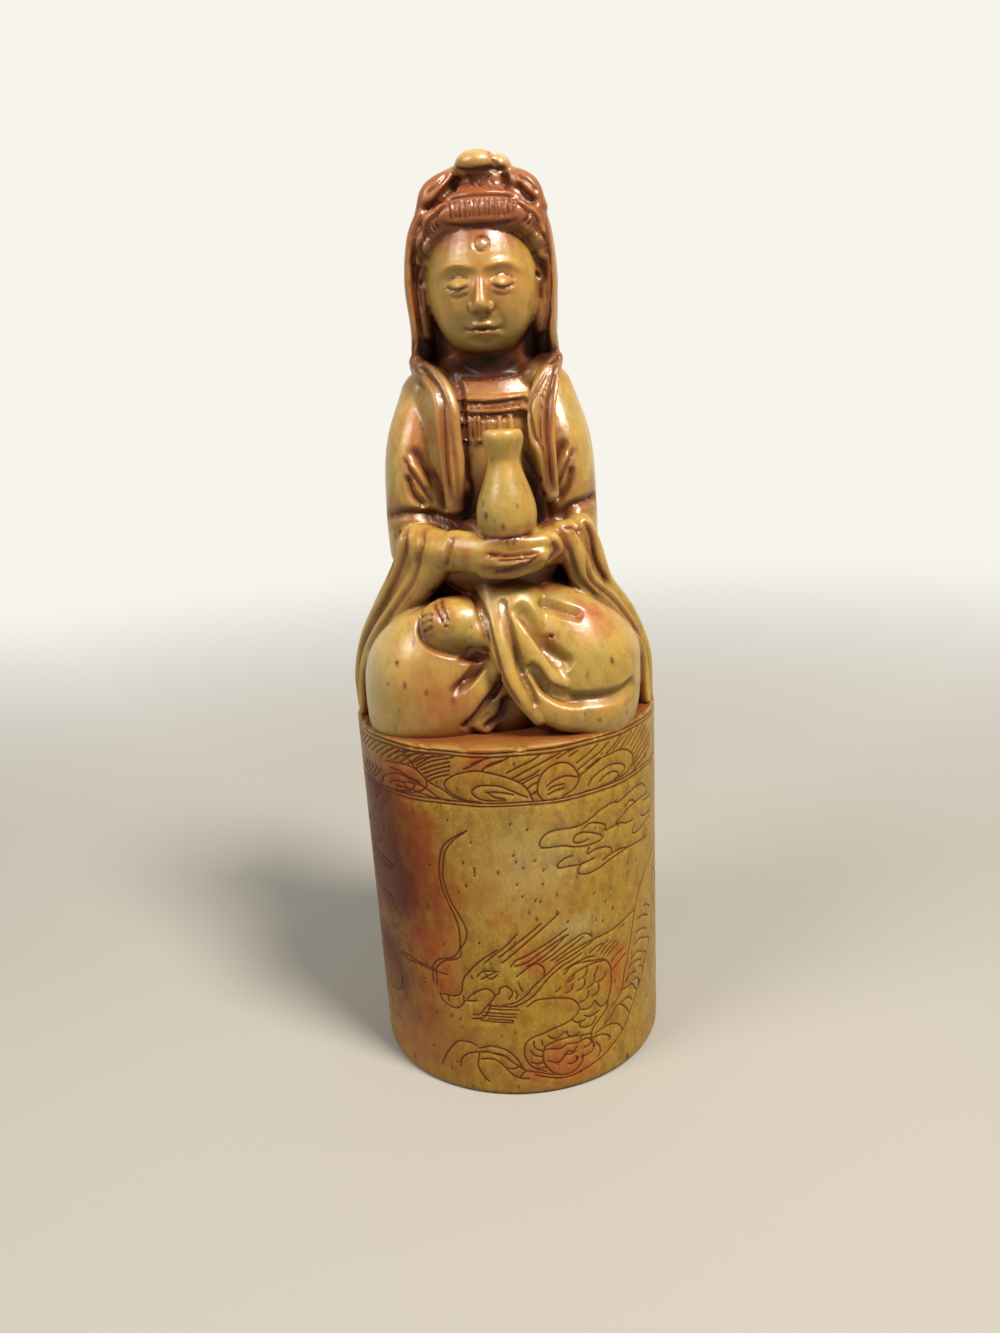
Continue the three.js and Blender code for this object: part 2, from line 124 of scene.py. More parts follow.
# Bright behind the seal, and dimmer towards the front.
way = add(tree, "ShaderNodeTexCoord").outputs["Generated"]
towards_back = add(tree, "ShaderNodeSeparateXYZ", _0=way).outputs["Y"]
strength = add(tree, "ShaderNodeMapRange", _0=towards_back, _1=0.2, _2=0.8, _3=0.36, _4=1.0).outputs[0]
tree.nodes["Background"].inputs["Color"].default_value = linear("#f7f4ec")
tree.links.new(strength, tree.nodes["Background"].inputs["Strength"])
bpy.context.scene.world = room
bpy.context.scene.view_settings.view_transform = "Standard"


def lamp(name, place, size, power, colour):
    bpy.ops.object.light_add(type="AREA", location=place)
    light = bpy.context.object
    light.name = name
    light.data.shape = "DISK"
    light.data.size = size
    light.data.energy = power
    light.data.color = linear(colour)[:3]
    light.rotation_euler = (Vector((0, 0, 0.08)) - light.location).to_track_quat("-Z", "Y").to_euler()


lamp("high right lamp", (0.30, -0.28, 0.64), 0.20, 10.8, "#fff5e8")
lamp("left fill", (-0.36, -0.28, 0.50), 0.28, 3.1, "#fff8f0")


# ---- The block -----------------------------------------------------------------------------
# The block is turned from one piece of soapstone with the finial. Its edges are just broken, its
# upper edge is nicked, and its side is engraved with a point that leaves fine dark lines.
MM = 0.001
block_height = 55.5
face_radius = 22.6
shoulder_radius = 23.2
line_width = 0.26  # of an engraved line
line_depth = 0.13
side_radius = 23.0  # at which the side is rolled out flat
most_triangles = 190000  # in a piece
random = np.random.default_rng(7)


def block_radius(z):
    return face_radius + (shoulder_radius - face_radius) * z / block_height


def smooth_path(points, count):
    """Rows on a smooth curve through the given rows, evenly spread over the spans."""
    rows = np.asarray(points, float)
    padded = np.vstack([2 * rows[0] - rows[1], rows, 2 * rows[-1] - rows[-2]])
    t = np.linspace(0, len(rows) - 1, count)
    span = np.minimum(t.astype(int), len(rows) - 2)
    u = (t - span)[:, None]
    a, b, c, d = (padded[span + n] for n in range(4))
    return 0.5 * (2 * b + (c - a) * u + (2 * a - 5 * b + 4 * c - d) * u**2 + (3 * b - a - 3 * c + d) * u**3)


engraved = []  # each line is a row of (s, z), with s round the block from the front


def engrave(*points, steps=4):
    curved = len(points) > 2
    engraved.append(smooth_path(points, (len(points) - 1) * steps + 1) if curved else np.array(points, float))


def engrave_all(lines, move=0.0):
    """Each line is s, z, s, z and so on."""
    for line in lines:
        engrave(*(np.reshape(line, (-1, 2)) + (move, 0)))


# The band's border lines go all round; the lower one is doubled.
ring = np.linspace(-72.3, 72.3, 145)
for height, sway in ((54.9, 0.1), (54.3, 0.1), (46.95, 0.12), (47.45, 0.16)):
    waver = sway * np.sin(ring / 5.3 + height) + 0.06 * np.sin(ring / 1.7)
    engraved.append(np.stack([ring, height + waver], axis=1))

# Waves: long leaf shapes and a round shell, one in the other, with slanted strokes above them.
waves = [
    [4.2, 47.6, 3.7, 49.0, 2.8, 50.1, 1.5, 50.9, -1, 51.8, -3.5, 52.2, -6, 51.7, -7.6, 50.8, -8.2, 49.9,
        -7.6, 49.0, -6.6, 48.4, -5, 47.8, -3, 47.6],
    [3.5, 48.1, 2.4, 48.6, 1, 49.4, -0.5, 50.0, -2.4, 50.1, -3.6, 49.8, -4.2, 49.0, -3.2, 48.1, -1.6, 47.8,
        0.5, 47.8],
    [1.6, 48.6, 0.4, 48.9, -1, 49.1, -2.2, 49.1],
    [-1.8, 48.9, -1.0, 48.3, 0.4, 48.0],
    [5.8, 47.2, 5.0, 48.4, 5.1, 50.0, 5.8, 51.4, 7.2, 52.3, 8.8, 52.5, 10.0, 51.9, 10.8, 50.8, 11.1, 49.6,
        10.6, 48.6, 9.8, 48.0, 8.5, 47.5],
    [6.3, 49.3, 7.2, 50.0, 8.6, 50.4, 9.8, 50.3, 10.8, 49.9],
    [6.5, 48.8, 7.2, 49.2, 8.8, 49.3],
    [6.4, 48.1, 7.4, 48.5, 8.8, 48.7],
    [12, 47.5, 14, 47.5, 17, 47.7, 19, 47.9, 20.8, 48.4, 21.9, 49.4, 21.8, 50.4, 20.6, 51.4, 19, 52.0, 17,
        52.0, 14, 51.7],
    [12.6, 48.2, 13.2, 49.1, 14.6, 49.8, 16.2, 50.3, 17.8, 50.2, 19.2, 49.7, 19.8, 49.1, 19, 48.3, 17.4,
        47.9],
    [14.6, 48.4, 15.6, 49.0, 16.8, 49.2, 18.0, 48.9, 18.2, 48.2],
    [-7.5, 47.5, -9, 47.8, -11, 48.9, -13, 49.8, -15.5, 50.6],
    [-5, 47.6, -7, 48.2, -8.5, 49.2, -10.5, 50.0, -12.5, 51.6, -14, 53.0],
    [-12, 49.8, -14, 50.2, -16, 50.8, -18, 50.9],
    [-10.5, 48.6, -12, 49.3, -14, 49.4, -16.5, 49.1],
    [-8, 47.6, -11, 47.9, -14, 48.4, -17, 48.4],
]
slants = [
    [-2.6, 52.3, -1.4, 53.2, 0.2, 53.7],
    [-1.8, 52.8, 0, 53.5, 1.2, 54.1],
    [0.8, 51.8, 2.4, 52.6, 4.4, 53.4, 5.5, 54.1],
    [1.4, 50.9, 3.2, 51.8, 5.0, 52.6, 7.0, 53.4, 8.5, 54.0],
    [2.2, 50.4, 4.2, 51.2, 5.4, 51.9],
    [2.8, 50.1, 4.0, 50.7, 5.2, 51.2],
    [3.4, 49.2, 4.2, 49.8, 4.9, 50.1],
    [3.9, 48.3, 4.8, 48.8],
    [-4, 53.2, -2.6, 53.8, -1.4, 54.1],
    [-5.2, 52.4, -3.6, 53.1, -2.4, 53.8],
    [8.0, 53.2, 9.4, 53.9, 11, 54.3],
    [9.8, 53.2, 11, 53.8],
    [11.0, 51.0, 13, 52.0, 14.6, 52.7, 16.4, 53.8],
    [11.2, 50.0, 13, 50.9, 14.8, 51.7],
    [12.4, 50.9, 14.6, 51.8],
    [10.8, 52.0, 12.4, 52.8, 14.4, 54.0],
    [16, 52.2, 18, 53.4, 19, 54.2],
    [17.2, 52.3, 19.4, 53.7],
    [18.6, 52.1, 20.4, 53.2, 21.6, 54.2],
    [20.4, 52.4, 22.4, 53.6, 23.6, 54.2],
    [21.4, 51.8, 23, 52.8, 25, 54.1],
    [21.8, 51.0, 24, 52.3, 26, 53.4],
    [22, 50.2, 24.4, 51.5, 27, 52.6],
    [22, 49.4, 24.6, 50.6, 28, 51.8],
    [21.6, 48.7, 25, 49.8, 28, 50.8],
    [22, 47.9, 25, 48.7, 28, 49.6],
    [-12.6, 51.8, -10, 53.2, -6.5, 54.1],
    [-13.4, 52.4, -11, 53.6, -8, 54.2],
    [-15.0, 53.2, -12, 54.1, -10, 54.3],
    [-16.6, 53.4, -14.5, 54.1, -13, 54.3],
    [-18.5, 53.2, -16.6, 54.2],
]
for n in range(4):
    slants.append([-10.6 - 0.4 * n, 50.2 + 0.5 * n, -9.3, 50.9 + 0.6 * n, -7.4 + 0.1 * n, 51.5 + 0.62 * n])
engrave_all(waves)
engrave_all(slants)
# Round the back the band goes on more simply.
for move in (41, -33):
    engrave_all(waves[:3] + waves[8:11], move)
    engrave_all([[s, 52.3, s + 1.6, 53.3, s + 3.0, 54.1] for s in np.arange(-8, 22, 1.5)], move)
    engrave_all([[s, 48.2, s + 1.4, 49.0, s + 2.4, 50.1] for s in (5.2, 6.4, 7.6, 8.8, 10.0)], move)
engrave_all([[s, 48.4, s + 2.0, 50.0, s + 4.4, 52.0, s + 7.0, 53.9] for s in np.arange(63, 71, 1.4)])

# Clouds on the upper right, in thin lines.
clouds = [
    [14.4, 44.0, 16.8, 44.5, 18.4, 44.2, 20.6, 44.8, 23, 45.1, 24.8, 44.8, 25.8, 43.9],
    [5.2, 40.2, 4.9, 41.0, 5.8, 42.2, 7.4, 42.6, 10, 42.5, 12, 42.8, 14.4, 44.0],
    [5.2, 40.2, 6.4, 40.1, 8.4, 40.0, 10, 39.5, 12, 39.2, 14, 39.3, 14.9, 39.8, 14, 40.5, 12.6, 41.1, 11.4,
        41.4, 10.3, 41.2, 9.9, 40.4, 10.8, 39.9, 12.4, 40.1],
    [11.8, 42.1, 12.6, 42.5, 14, 42.2, 15.4, 41.5, 15.5, 40.6, 16.4, 40.7, 18.4, 40.8, 20, 40.3, 21.6, 40.2],
    [18.4, 40.8, 17.5, 41.1, 18.6, 41.6, 20.4, 42.4, 22, 42.7, 24, 42.8, 26, 42.7],
    [19.6, 43.0, 20.8, 43.5, 21.8, 43.2, 22.4, 42.6],
    [12.4, 38.9, 12.1, 37.9, 13.4, 38.2, 15.2, 38.1, 16.4, 37.6, 16.5, 36.9],
    [9.6, 38.2, 8.4, 38.0, 7.4, 37.3, 7.6, 36.7, 9, 36.7, 11, 36.6, 13.4, 36.9],
    [11.4, 36.8, 10.6, 36.0, 10.6, 35.2, 12, 34.8, 14, 35.1, 16, 35.7, 18, 36.1, 20, 36.3, 22, 36.2, 26.4,
        35.7],
    [14.8, 36.1, 16.4, 36.6, 18.4, 36.7, 20.6, 36.3],
    [22, 39.2, 21.4, 38.5, 21.9, 37.9, 23.6, 37.9, 25.4, 38.3, 27.5, 38.5],
    [24, 40.0, 25.6, 39.4, 27.6, 39.3],
    [25, 42.0, 26.6, 41.8, 28, 41.6],
]
engrave_all(clouds)
for move, drop in ((35, 8), (-62, 2)):
    engrave_all([np.reshape(line, (-1, 2)) - (0, drop) for line in clouds[1:10]], move)
engrave_all(
    [
        [-26, 36.6, -24, 37.0, -22.5, 37.6],
        [-27, 35.6, -25, 35.3, -22, 35.2, -19.5, 34.8],
        [-27, 34.6, -25, 34.4, -22, 34.3, -20, 34.1],
        [-24, 29.2, -22, 29.4, -20.8, 29.2],
        [-20.4, 15.4, -20.8, 13.8, -21.6, 12.8, -23, 12.2, -25, 11.6],
        [-22.8, 45.0, -21.8, 45.6, -20.8, 46.2],
    ]
)

# The dragon: its head looks to the left, and its whiskers, horns and mane stream from it. The
# scaled body goes up the right side and back down to a coil at the foot.
engrave_all(
    [
        [-5.3, 43.2, -7.4, 42.0, -9.2, 40.4, -9.9, 38.4, -10.2, 36.0, -9.9, 33.8, -9.2, 31.8, -8.4, 30.0,
            -7.8, 28.2, -7.6, 26.2, -7.8, 24.4, -8.4, 23.2, -9.2, 22.5, -10.6, 22.1, -11.8, 21.5, -12.7,
            20.4, -12.9, 19.2, -12.9, 17.6],
        [-5.6, 43.0, -7.4, 41.6, -8.8, 39.8, -9.4, 37.6, -9.6, 35.6, -9.2, 33.4, -8.4, 31.4, -7.4, 29.6,
            -6.7, 28.2, -6.5, 26.8, -6.9, 25.4, -7.6, 24.4, -7.7, 23.2, -8.4, 22.5, -9.4, 22.1, -10.4, 21.8,
            -11.6, 20.8, -12.3, 19.6, -12.2, 18.4, -12.4, 17.2],
        [-19.8, 20.3, -18, 20.4, -16, 20.2, -14, 20.0, -12.2, 19.8],
        [-20, 19.9, -18, 19.6, -16, 19.8, -14, 19.6, -12, 19.5, -10.2, 19.5],
        [-2, 24.6, -4, 23.2, -5.6, 21.8, -6.6, 20.6, -7.4, 19.6, -7.8, 18.4, -8.0, 17.2, -8.6, 16.4, -9.6,
            16.1, -11, 16.0, -11.9, 15.8, -11.4, 14.9, -10.4, 14.3, -9.2, 14.1, -8.3, 14.6, -7.8, 15.4, -7.8,
            16.4],
        [-10.3, 16.0, -10.4, 15.2, -10.2, 14.9],
        [-7.8, 15.6, -6.6, 15.8, -5.6, 16.0],
        [-7.2, 16.0, -6.2, 17.0, -5.0, 17.8, -4.0, 18.1, -3.2, 17.7, -2.9, 17.0, -3.3, 16.2, -4.0, 15.4,
            -4.8, 14.4, -5.4, 13.7, -6.4, 13.5],
        [-3.5, 15.5, -3.9, 14.6, -4.4, 13.6, -5.2, 13.0, -6.6, 12.8],
        [-2.9, 17.0, -2.2, 17.5, -2.1, 18.2],
        [-2.0, 18.3, -1.2, 18.6, -0.4, 18.2, -0.2, 17.3, -0.8, 16.5],
        [0.2, 18.0, 0.5, 17.2, 0.3, 16.5],
        [0.8, 19.2, 1.0, 18.4, 1.3, 17.8],
        [-5.4, 20.0, -4.6, 20.8, -3.4, 21.1, -2.0, 21.0],
        [-4.8, 19.6, -3.8, 20.2, -2.6, 20.9],
        [-4.0, 20.6, -3.5, 19.8, -2.8, 20.0, -2.2, 20.6],
        [-1.8, 15.4, 0, 15.8, 1.0, 16.4, 2.0, 17.2, 3.0, 18.4, 4.2, 19.4, 5.4, 20.4, 7.0, 21.6, 9, 22.4, 11,
            23.2, 12.4, 23.7],
        [0, 15.3, 1.4, 15.8, 2.6, 16.6, 3.8, 17.8, 5.2, 19.4, 7.2, 20.9, 9.0, 21.6, 10.6, 22.4],
        [1.9, 15.1, 2.8, 15.8, 3.6, 16.1, 5, 16.1, 6.6, 15.9, 8.4, 15.4, 9.4, 14.6, 9.9, 13.6, 9.6, 12.6,
            8.6, 11.8, 7.2, 11.3, 5.6, 10.9, 4.0, 10.3, 2.4, 9.8, 1.4, 8.9, 1.1, 7.6, 1.3, 6.2, 2.0, 5.0,
            3.0, 4.3, 4.2, 3.8],
        [-4, 22.4, -2.6, 23.7, -1.2, 24.8, 1.0, 27.1],
        [-1.8, 23.4, 0.8, 25.5, 4.5, 28.4],
        [-1.4, 22.5, 0.6, 24.2, 2.6, 25.9, 7.2, 29.6],
        [-0.2, 21.9, 0.6, 22.8, 2, 23.4, 5, 25.0, 8.4, 26.9],
        [0.4, 21.9, 2.2, 22.4, 4.6, 24.0, 7.6, 25.6, 8.6, 25.9],
        [2.2, 21.8, 4, 22.6, 6, 24, 8, 25.6],
        [4.4, 22.2, 6.2, 23.2, 8, 24.3, 10.6, 25.4, 11.8, 25.2, 12.4, 24.6],
        [5.8, 22.2, 7.6, 23.2, 9.6, 24.2, 11, 25.0],
        [6.6, 22.0, 8.4, 22.9, 10.4, 23.6, 12.6, 24.0, 16, 24.3, 18, 24.7, 20, 25.2, 21.6, 25.4],
        [0.6, 20.2, 1.8, 21.2, 3.0, 21.9, 3.9, 22.0, 4.7, 21.0, 4.6, 20.0],
        [7.8, 20.4, 9.4, 21.0, 11.6, 21.4, 12.8, 21.2],
        [7.6, 19.6, 8.8, 20.6, 10.2, 20.9, 12.6, 20.5, 14.2, 20.2, 15.2, 19.4, 15.8, 18.2, 15.9, 16.6, 15.8,
            15.0, 15.2, 13.2, 14.6, 11.4, 13.2, 10.2, 12.2, 9.2, 11.8, 8.0, 12.0, 6.8, 12.4, 6.0],
        [8.2, 18.6, 9.4, 19.4, 11, 19.9, 12.8, 20.1, 14.6, 19.8],
        [12, 22.0, 13.2, 22.6, 14.2, 22.8],
        [13.4, 21.8, 14.4, 22.5, 15.4, 22.9],
        [14, 21.2, 15, 22.0, 16.2, 22.6],
        [14.6, 20.8, 15.8, 21.6, 17, 22.2],
        [15.2, 20.4, 16.2, 21.0, 17.4, 21.6],
        [16, 19.0, 17, 19.8, 18.6, 20.2],
        [16.2, 17.6, 17.4, 18.4, 19.2, 19.2],
    ]
)
beard = ((-4, 15.3, 0.4), (-4, 14.8, 0.6), (-4.6, 14.1, 0.2), (-5, 13.6, 0.1), (-4, 13.1, -0.4),
    (-5.2, 12.7, -0.4))
engrave_all([[a, z, b, z - 0.15] for a, z, b in beard])
scales = [
    [7.0, 17.6, 6.8, 17.2, 6.2, 17.0],
    [9.3, 19.4, 9.0, 18.6, 8.2, 18.2],
    [11.5, 19.9, 11.3, 18.8, 10.6, 18.2],
    [13.3, 19.3, 13.1, 18.6, 12.6, 18.1],
    [9.0, 17.6, 8.8, 16.9, 8.2, 16.5, 7.8, 16.5],
    [11.0, 18.0, 10.9, 17.0, 10.4, 16.5, 9.6, 16.4],
    [12.8, 18.0, 12.6, 17.0, 12.0, 16.5, 11.2, 16.3],
    [14.8, 17.9, 14.6, 17.2, 14.0, 16.8, 12.9, 16.8],
    [11.6, 15.8, 11.4, 14.9, 10.8, 14.4, 10.0, 14.3],
    [13.4, 16.4, 13.4, 15.4, 13.0, 14.9, 12.2, 14.7],
    [12.6, 13.8, 12.0, 13.0, 11.2, 12.8, 10.2, 13.1],
    [14.8, 12.6, 13.8, 12.3, 13.2, 12.9, 12.7, 13.7],
    [10.9, 11.2, 10.2, 11.0, 9.2, 11.2, 8.6, 11.9],
    [13.4, 11.9, 12.6, 11.5, 11.6, 11.4, 10.7, 11.9],
    [12.8, 11.0, 12.2, 10.0, 11.2, 9.8, 10.0, 10.1, 9.9, 10.9],
    [9.8, 9.3, 9.0, 8.9, 8.0, 9.2, 7.8, 10.0],
    [7.4, 10.1, 6.2, 9.2, 5.2, 9.4, 4.8, 9.9],
    [4.3, 8.1, 5.0, 8.4, 6.2, 8.8, 8.4, 8.9, 10.4, 8.6, 11.7, 8.4],
    [4.2, 8.0, 3.9, 6.8, 4.0, 5.4, 4.6, 4.2, 5.6, 3.2, 6.8, 2.7, 8.2, 2.7, 9.4, 3.3, 10.1, 4.2, 10.2, 5.2],
    [4.3, 7.6, 5.4, 7.5, 6.6, 7.3, 7.8, 7.8, 9.4, 7.6, 11.0, 7.9, 11.8, 7.2, 11.4, 6.6, 10.4, 6.4],
    [4.6, 5.6, 5.6, 5.1, 6.4, 5.1, 7.2, 5.8, 7.8, 6.6, 8.6, 6.3, 9.3, 6.9],
    [7.2, 6.2, 8.2, 6.0, 9.2, 6.2],
    [7.8, 4.4, 8.6, 4.3, 9.4, 4.9, 9.0, 5.4],
    [10, 4.9, 11, 5.1, 12, 5.5, 12.2, 6.6],
    [2.6, 9.2, 2.6, 8.4, 3.0, 7.8, 3.8, 7.4],
    [3.8, 9.2, 3.9, 8.4],
    [2.0, 7.6, 2.6, 6.8, 3.8, 6.4],
    [2.0, 5.6, 3.0, 5.3, 4.0, 5.4],
    [2.4, 4.6, 3.2, 4.4, 4.2, 4.5],
    [11.9, 7.6, 13.4, 7.6, 14.8, 7.0, 15.4, 6.2, 15.0, 6.0],
    [12.6, 6.6, 13.2, 5.8, 13.4, 4.8, 13.0, 4.0],
    [12.6, 8.2, 14.4, 8.6, 15.8, 8.5, 17.2, 7.8, 17.9, 6.8, 18.0, 6.2],
    [14.2, 9.0, 15.6, 9.8, 16.4, 10.8, 17.2, 11.2, 18.2, 10.7, 19.0, 9.8, 20, 8.4],
    [16.0, 11.4, 17, 12.2, 18, 13.0, 18.3, 14.0, 18.8, 16.0, 19.6, 18, 20.2, 20, 20.8, 22, 21.4, 24, 21.8,
        25.4],
    [9.6, 2.5, 11, 2.8, 12.4, 3.2, 13.8, 3.7, 15.2, 4.4, 16.8, 5.4, 18, 6.2, 19.4, 7.8, 20.8, 9.6, 22, 11.2,
        23.8, 13.0, 25, 15, 27, 18, 28.5, 21, 29.5, 25, 29.6, 29],
    [17.8, 11.2, 19, 11.5, 20, 11.2, 20.6, 10.4],
    [18.2, 13.4, 19.4, 13.2, 20.6, 13.2, 21.4, 12.2, 22.2, 11.4],
    [19, 14.2, 19.6, 14.8, 21, 15.0, 22, 14.6],
    [21, 13.6, 22, 13.6, 22.8, 12.8],
    [20, 16.2, 21, 16.6, 22.6, 16.4, 23.6, 15.8],
    [22.8, 15.2, 24, 14.4, 23.9, 13.2],
    [20.6, 17.6, 22.6, 17.9, 23.8, 17.2],
    [24.2, 17.0, 25.4, 16.4, 25.9, 15.6],
    [21.4, 19.4, 23.2, 19.8, 25, 19.0],
    [25.2, 18.9, 26.4, 18.4, 27, 17.6],
    [22, 21.4, 23.8, 21.2, 25.4, 20.4],
    [22.6, 23.4, 24.4, 23.2, 26.4, 22.2],
    [24.6, 24.6, 25.8, 24.4, 27.2, 23.4],
    [-12.6, 3.4, -12.2, 4.4, -11.4, 5.8, -10.4, 7.2, -9.4, 8.3, -8.2, 8.6, -7.2, 8.6, -6.2, 8.2],
    [-9.2, 4.0, -9.0, 5.2, -8.2, 6.2, -7.0, 6.9, -5.6, 7.2, -4.2, 7.3, -3.0, 7.0, -2.0, 6.8],
    [-5.9, 7.8, -5, 8.1, -4, 8.4, -2.4, 8.2, -1, 7.4, 0, 6.2, 0.6, 5.0, 1.2, 4.2, 2.6, 3.9, 4.2, 3.4, 5.4,
        3.0],
    [-5.8, 7.2, -6.1, 5.8, -6.2, 4.8, -5.8, 3.6, -5.0, 2.6, -4.6, 2.2],
    [-5.6, 6.0, -4.4, 6.2, -3.2, 6.0, -2.2, 5.2, -1.4, 4.2, -0.6, 3.4, 0.6, 2.9, 1.6, 2.8],
    [-3.6, 7.2, -2.2, 7.0, -1.0, 6.0, 0.2, 5.0, 1.0, 4.4],
    [-1.6, 4.8, -0.8, 4.6, 0, 4.9],
    [0.2, 3.0, 0.6, 3.6, 1.2, 4.2],
    [2.6, 3.4, 4, 2.9, 6, 2.3, 8, 2.2, 10, 2.4],
]
engrave_all(scales)
# Beyond what the front shows, the body runs on round the side in two lines with a few scales.
engrave_all(
    [
        [21.8, 25.4, 23, 28, 25, 30, 28, 31.5, 32, 32, 36, 31, 40, 28, 43, 24, 47, 20, 52, 17, 58, 16, 64,
            17, 70, 20],
        [29.6, 29, 31, 27.5, 33, 25, 36, 20, 40, 15.5, 46, 11.5, 53, 9, 60, 8.6, 66, 10, 71, 13],
        [-72, 20.5, -67, 24, -63, 27.5, -58, 30, -52, 30.5, -46, 29, -40, 26, -34, 23.5, -28, 22.6],
        [-73, 14, -68, 17, -63, 21, -58, 23.5, -53, 24, -47, 22, -41, 18.5, -35, 15.6, -29, 14.4],
    ]
)
for start, near, far, heights in (
    (33, 1.2, -1.0, (28, 26, 23, 19.5, 16.6, 14.6, 13.2, 12.4, 12.2, 12.4, 13.2)),
    (-68, -1.0, 1.2, (20.5, 23.5, 26, 27.2, 27.6, 27, 25.6, 23.6, 21.6, 20.2, 19.4)),
):
    for s, z in zip(start + 3.2 * np.arange(11), heights):
        engrave_all([[s, z + near, s + 1.4, z + 0.4, s + 2.6, z + far]])

# Small pits where softer grains have come out.
pits = [(0.9, 44.2), (3.2, 43.2), (4.1, 38.4), (5.3, 36.8), (2.4, 37.4), (1.4, 34.9), (5.1, 34.6),
    (2.1, 33.0), (3.9, 32.2)]
pits += [(4.6, 31.9), (-8.1, 44.6), (-6.0, 34.6), (-4.6, 36.4), (-4.6, 36.9), (-4.6, 37.4), (-14.6, 30.2),
    (-18, 23.6)]
pits += [(-18.1, 19.1), (-14.8, 17.6), (-14.6, 17.0), (-10.1, 12.5), (-9.7, 4.6), (-10.8, 3.2), (8.6, 28.0),
    (13.2, 27)]
pits += [(14.5, 26.4), (16.2, 31.2), (26.2, 33.6), (26.4, 33.9), (12.4, 38.6), (15.1, 52.4), (7.3, 47.3),
    (9.1, 4.9)]
pits += [(19.1, 19.1)] + [(random.uniform(-72, 72), random.uniform(2, 45)) for _ in range(60)]
engrave_all([[s - 0.06, z - 0.12, s + 0.06, z + 0.12] for s, z in pits])


def spun(profile, name, steps):
    """A solid spun round Z from a profile of [radius, height] in millimetres, ends on the axis."""
    edge = bpy.data.meshes.new(name)
    rows = [(r * MM, 0, z * MM) for r, z in profile]
    edge.from_pydata(rows, [(n, n + 1) for n in range(len(rows) - 1)], [])
    piece = bpy.data.objects.new(name, edge)
    bpy.context.collection.objects.link(piece)
    bpy.context.view_layer.objects.active = piece
    piece.select_set(True)
    bpy.ops.object.mode_set(mode="EDIT")
    bpy.ops.mesh.select_all(action="SELECT")
    bpy.ops.mesh.spin(steps=steps, angle=2 * math.pi, center=(0, 0, 0), axis=(0, 0, 1))
    bpy.ops.mesh.select_all(action="SELECT")
    bpy.ops.mesh.remove_doubles(threshold=1e-6)
    bpy.ops.mesh.normals_make_consistent(inside=False)
    bpy.ops.object.mode_set(mode="OBJECT")
    return piece


def corners_of(piece):
    place = np.empty(len(piece.data.vertices) * 3)
    piece.data.vertices.foreach_get("co", place)
    return place.reshape(-1, 3) / MM


def normals_of(piece):
    towards = np.empty(len(piece.data.vertices) * 3, np.float32)
    piece.data.vertex_normals.foreach_get("vector", towards)
    return towards.reshape(-1, 3).astype(float)


def edges_of(piece):
    """The numbers of the corners at the two ends of each edge."""
    ends = np.empty(2 * len(piece.data.edges), np.int32)
    piece.data.edges.foreach_get("vertices", ends)
    return ends.reshape(-1, 2).T


def put_corners(piece, place):
    piece.data.vertices.foreach_set("co", (place * MM).ravel())
    piece.data.update()


def nearness(points, line, reach):
    """How far each point is from a line of points, for those within reach, and how far along."""
    line = np.asarray(line, float)
    low, high = line.min(0) - reach, line.max(0) + reach
    near = np.flatnonzero(np.all((points >= low) & (points <= high), axis=1))
    best = np.full(len(near), 1e9)
    along = np.zeros(len(near))
    lengths = np.linalg.norm(np.diff(line, axis=0), axis=1)
    start = 0.0
    for a, b, length in zip(line[:-1], line[1:], lengths):
        step = (b - a) / max(length, 1e-9)
        t = np.clip((points[near] - a) @ step, 0, length)
        close = a + t[:, None] * step
        gap = np.linalg.norm(points[near] - close, axis=1)
        nearer = gap < best
        best[nearer] = gap[nearer]
        along[nearer] = (start + t[nearer]) / max(lengths.sum(), 1e-9)
        start += length
    return near, best, along


profile = [(r, 0) for r in np.linspace(0, face_radius - 0.8, 16)]
profile += [(face_radius - 0.35, 0.1), (face_radius - 0.1, 0.35)]
profile += [(block_radius(z), z) for z in np.arange(0.8, block_height - 0.4)]
profile += [(shoulder_radius, block_height - 0.35), (shoulder_radius - 0.12, block_height - 0.1)]
profile += [(r, block_height) for r in np.linspace(shoulder_radius - 0.4, 0, 30)]
block = spun(profile, "seal_block", 144)


def unrolled(place):
    """Where points of the side lie when it is rolled out flat: round from the front, and height."""
    return np.stack([side_radius * np.arctan2(place[:, 0], -place[:, 1]), place[:, 2]], axis=1)


def on_side(place):
    return np.hypot(place[:, 0], place[:, 1]) > 22.0


nicks = [(random.uniform(-72, 72), random.uniform(0.5, 1.1)) for _ in range(46)]
for reach in (0.9, 0.55, 0.38):
    place = corners_of(block)
    flat = unrolled(place)
    close = np.zeros(len(place), bool)
    for s, size in nicks:
        close |= np.hypot(flat[:, 0] - s, flat[:, 1] - block_height) < size + 0.3
    for line in engraved:
        near, gap, _ = nearness(flat, line, reach)
        close[near[gap < reach]] = True
    close &= on_side(place)
    sides = [polygon.index for polygon in block.data.polygons if any(close[v] for v in polygon.vertices)]
    for parts in (block.data.polygons, block.data.edges, block.data.vertices):
        parts.foreach_set("select", [False] * len(parts))
    for index in sides:
        block.data.polygons[index].select = True
    bpy.context.view_layer.objects.active = block
    bpy.ops.object.mode_set(mode="EDIT")
    bpy.ops.mesh.select_mode(type="FACE")
    bpy.ops.mesh.subdivide(number_cuts=1, quadcorner="INNERVERT")
    bpy.ops.object.mode_set(mode="OBJECT")

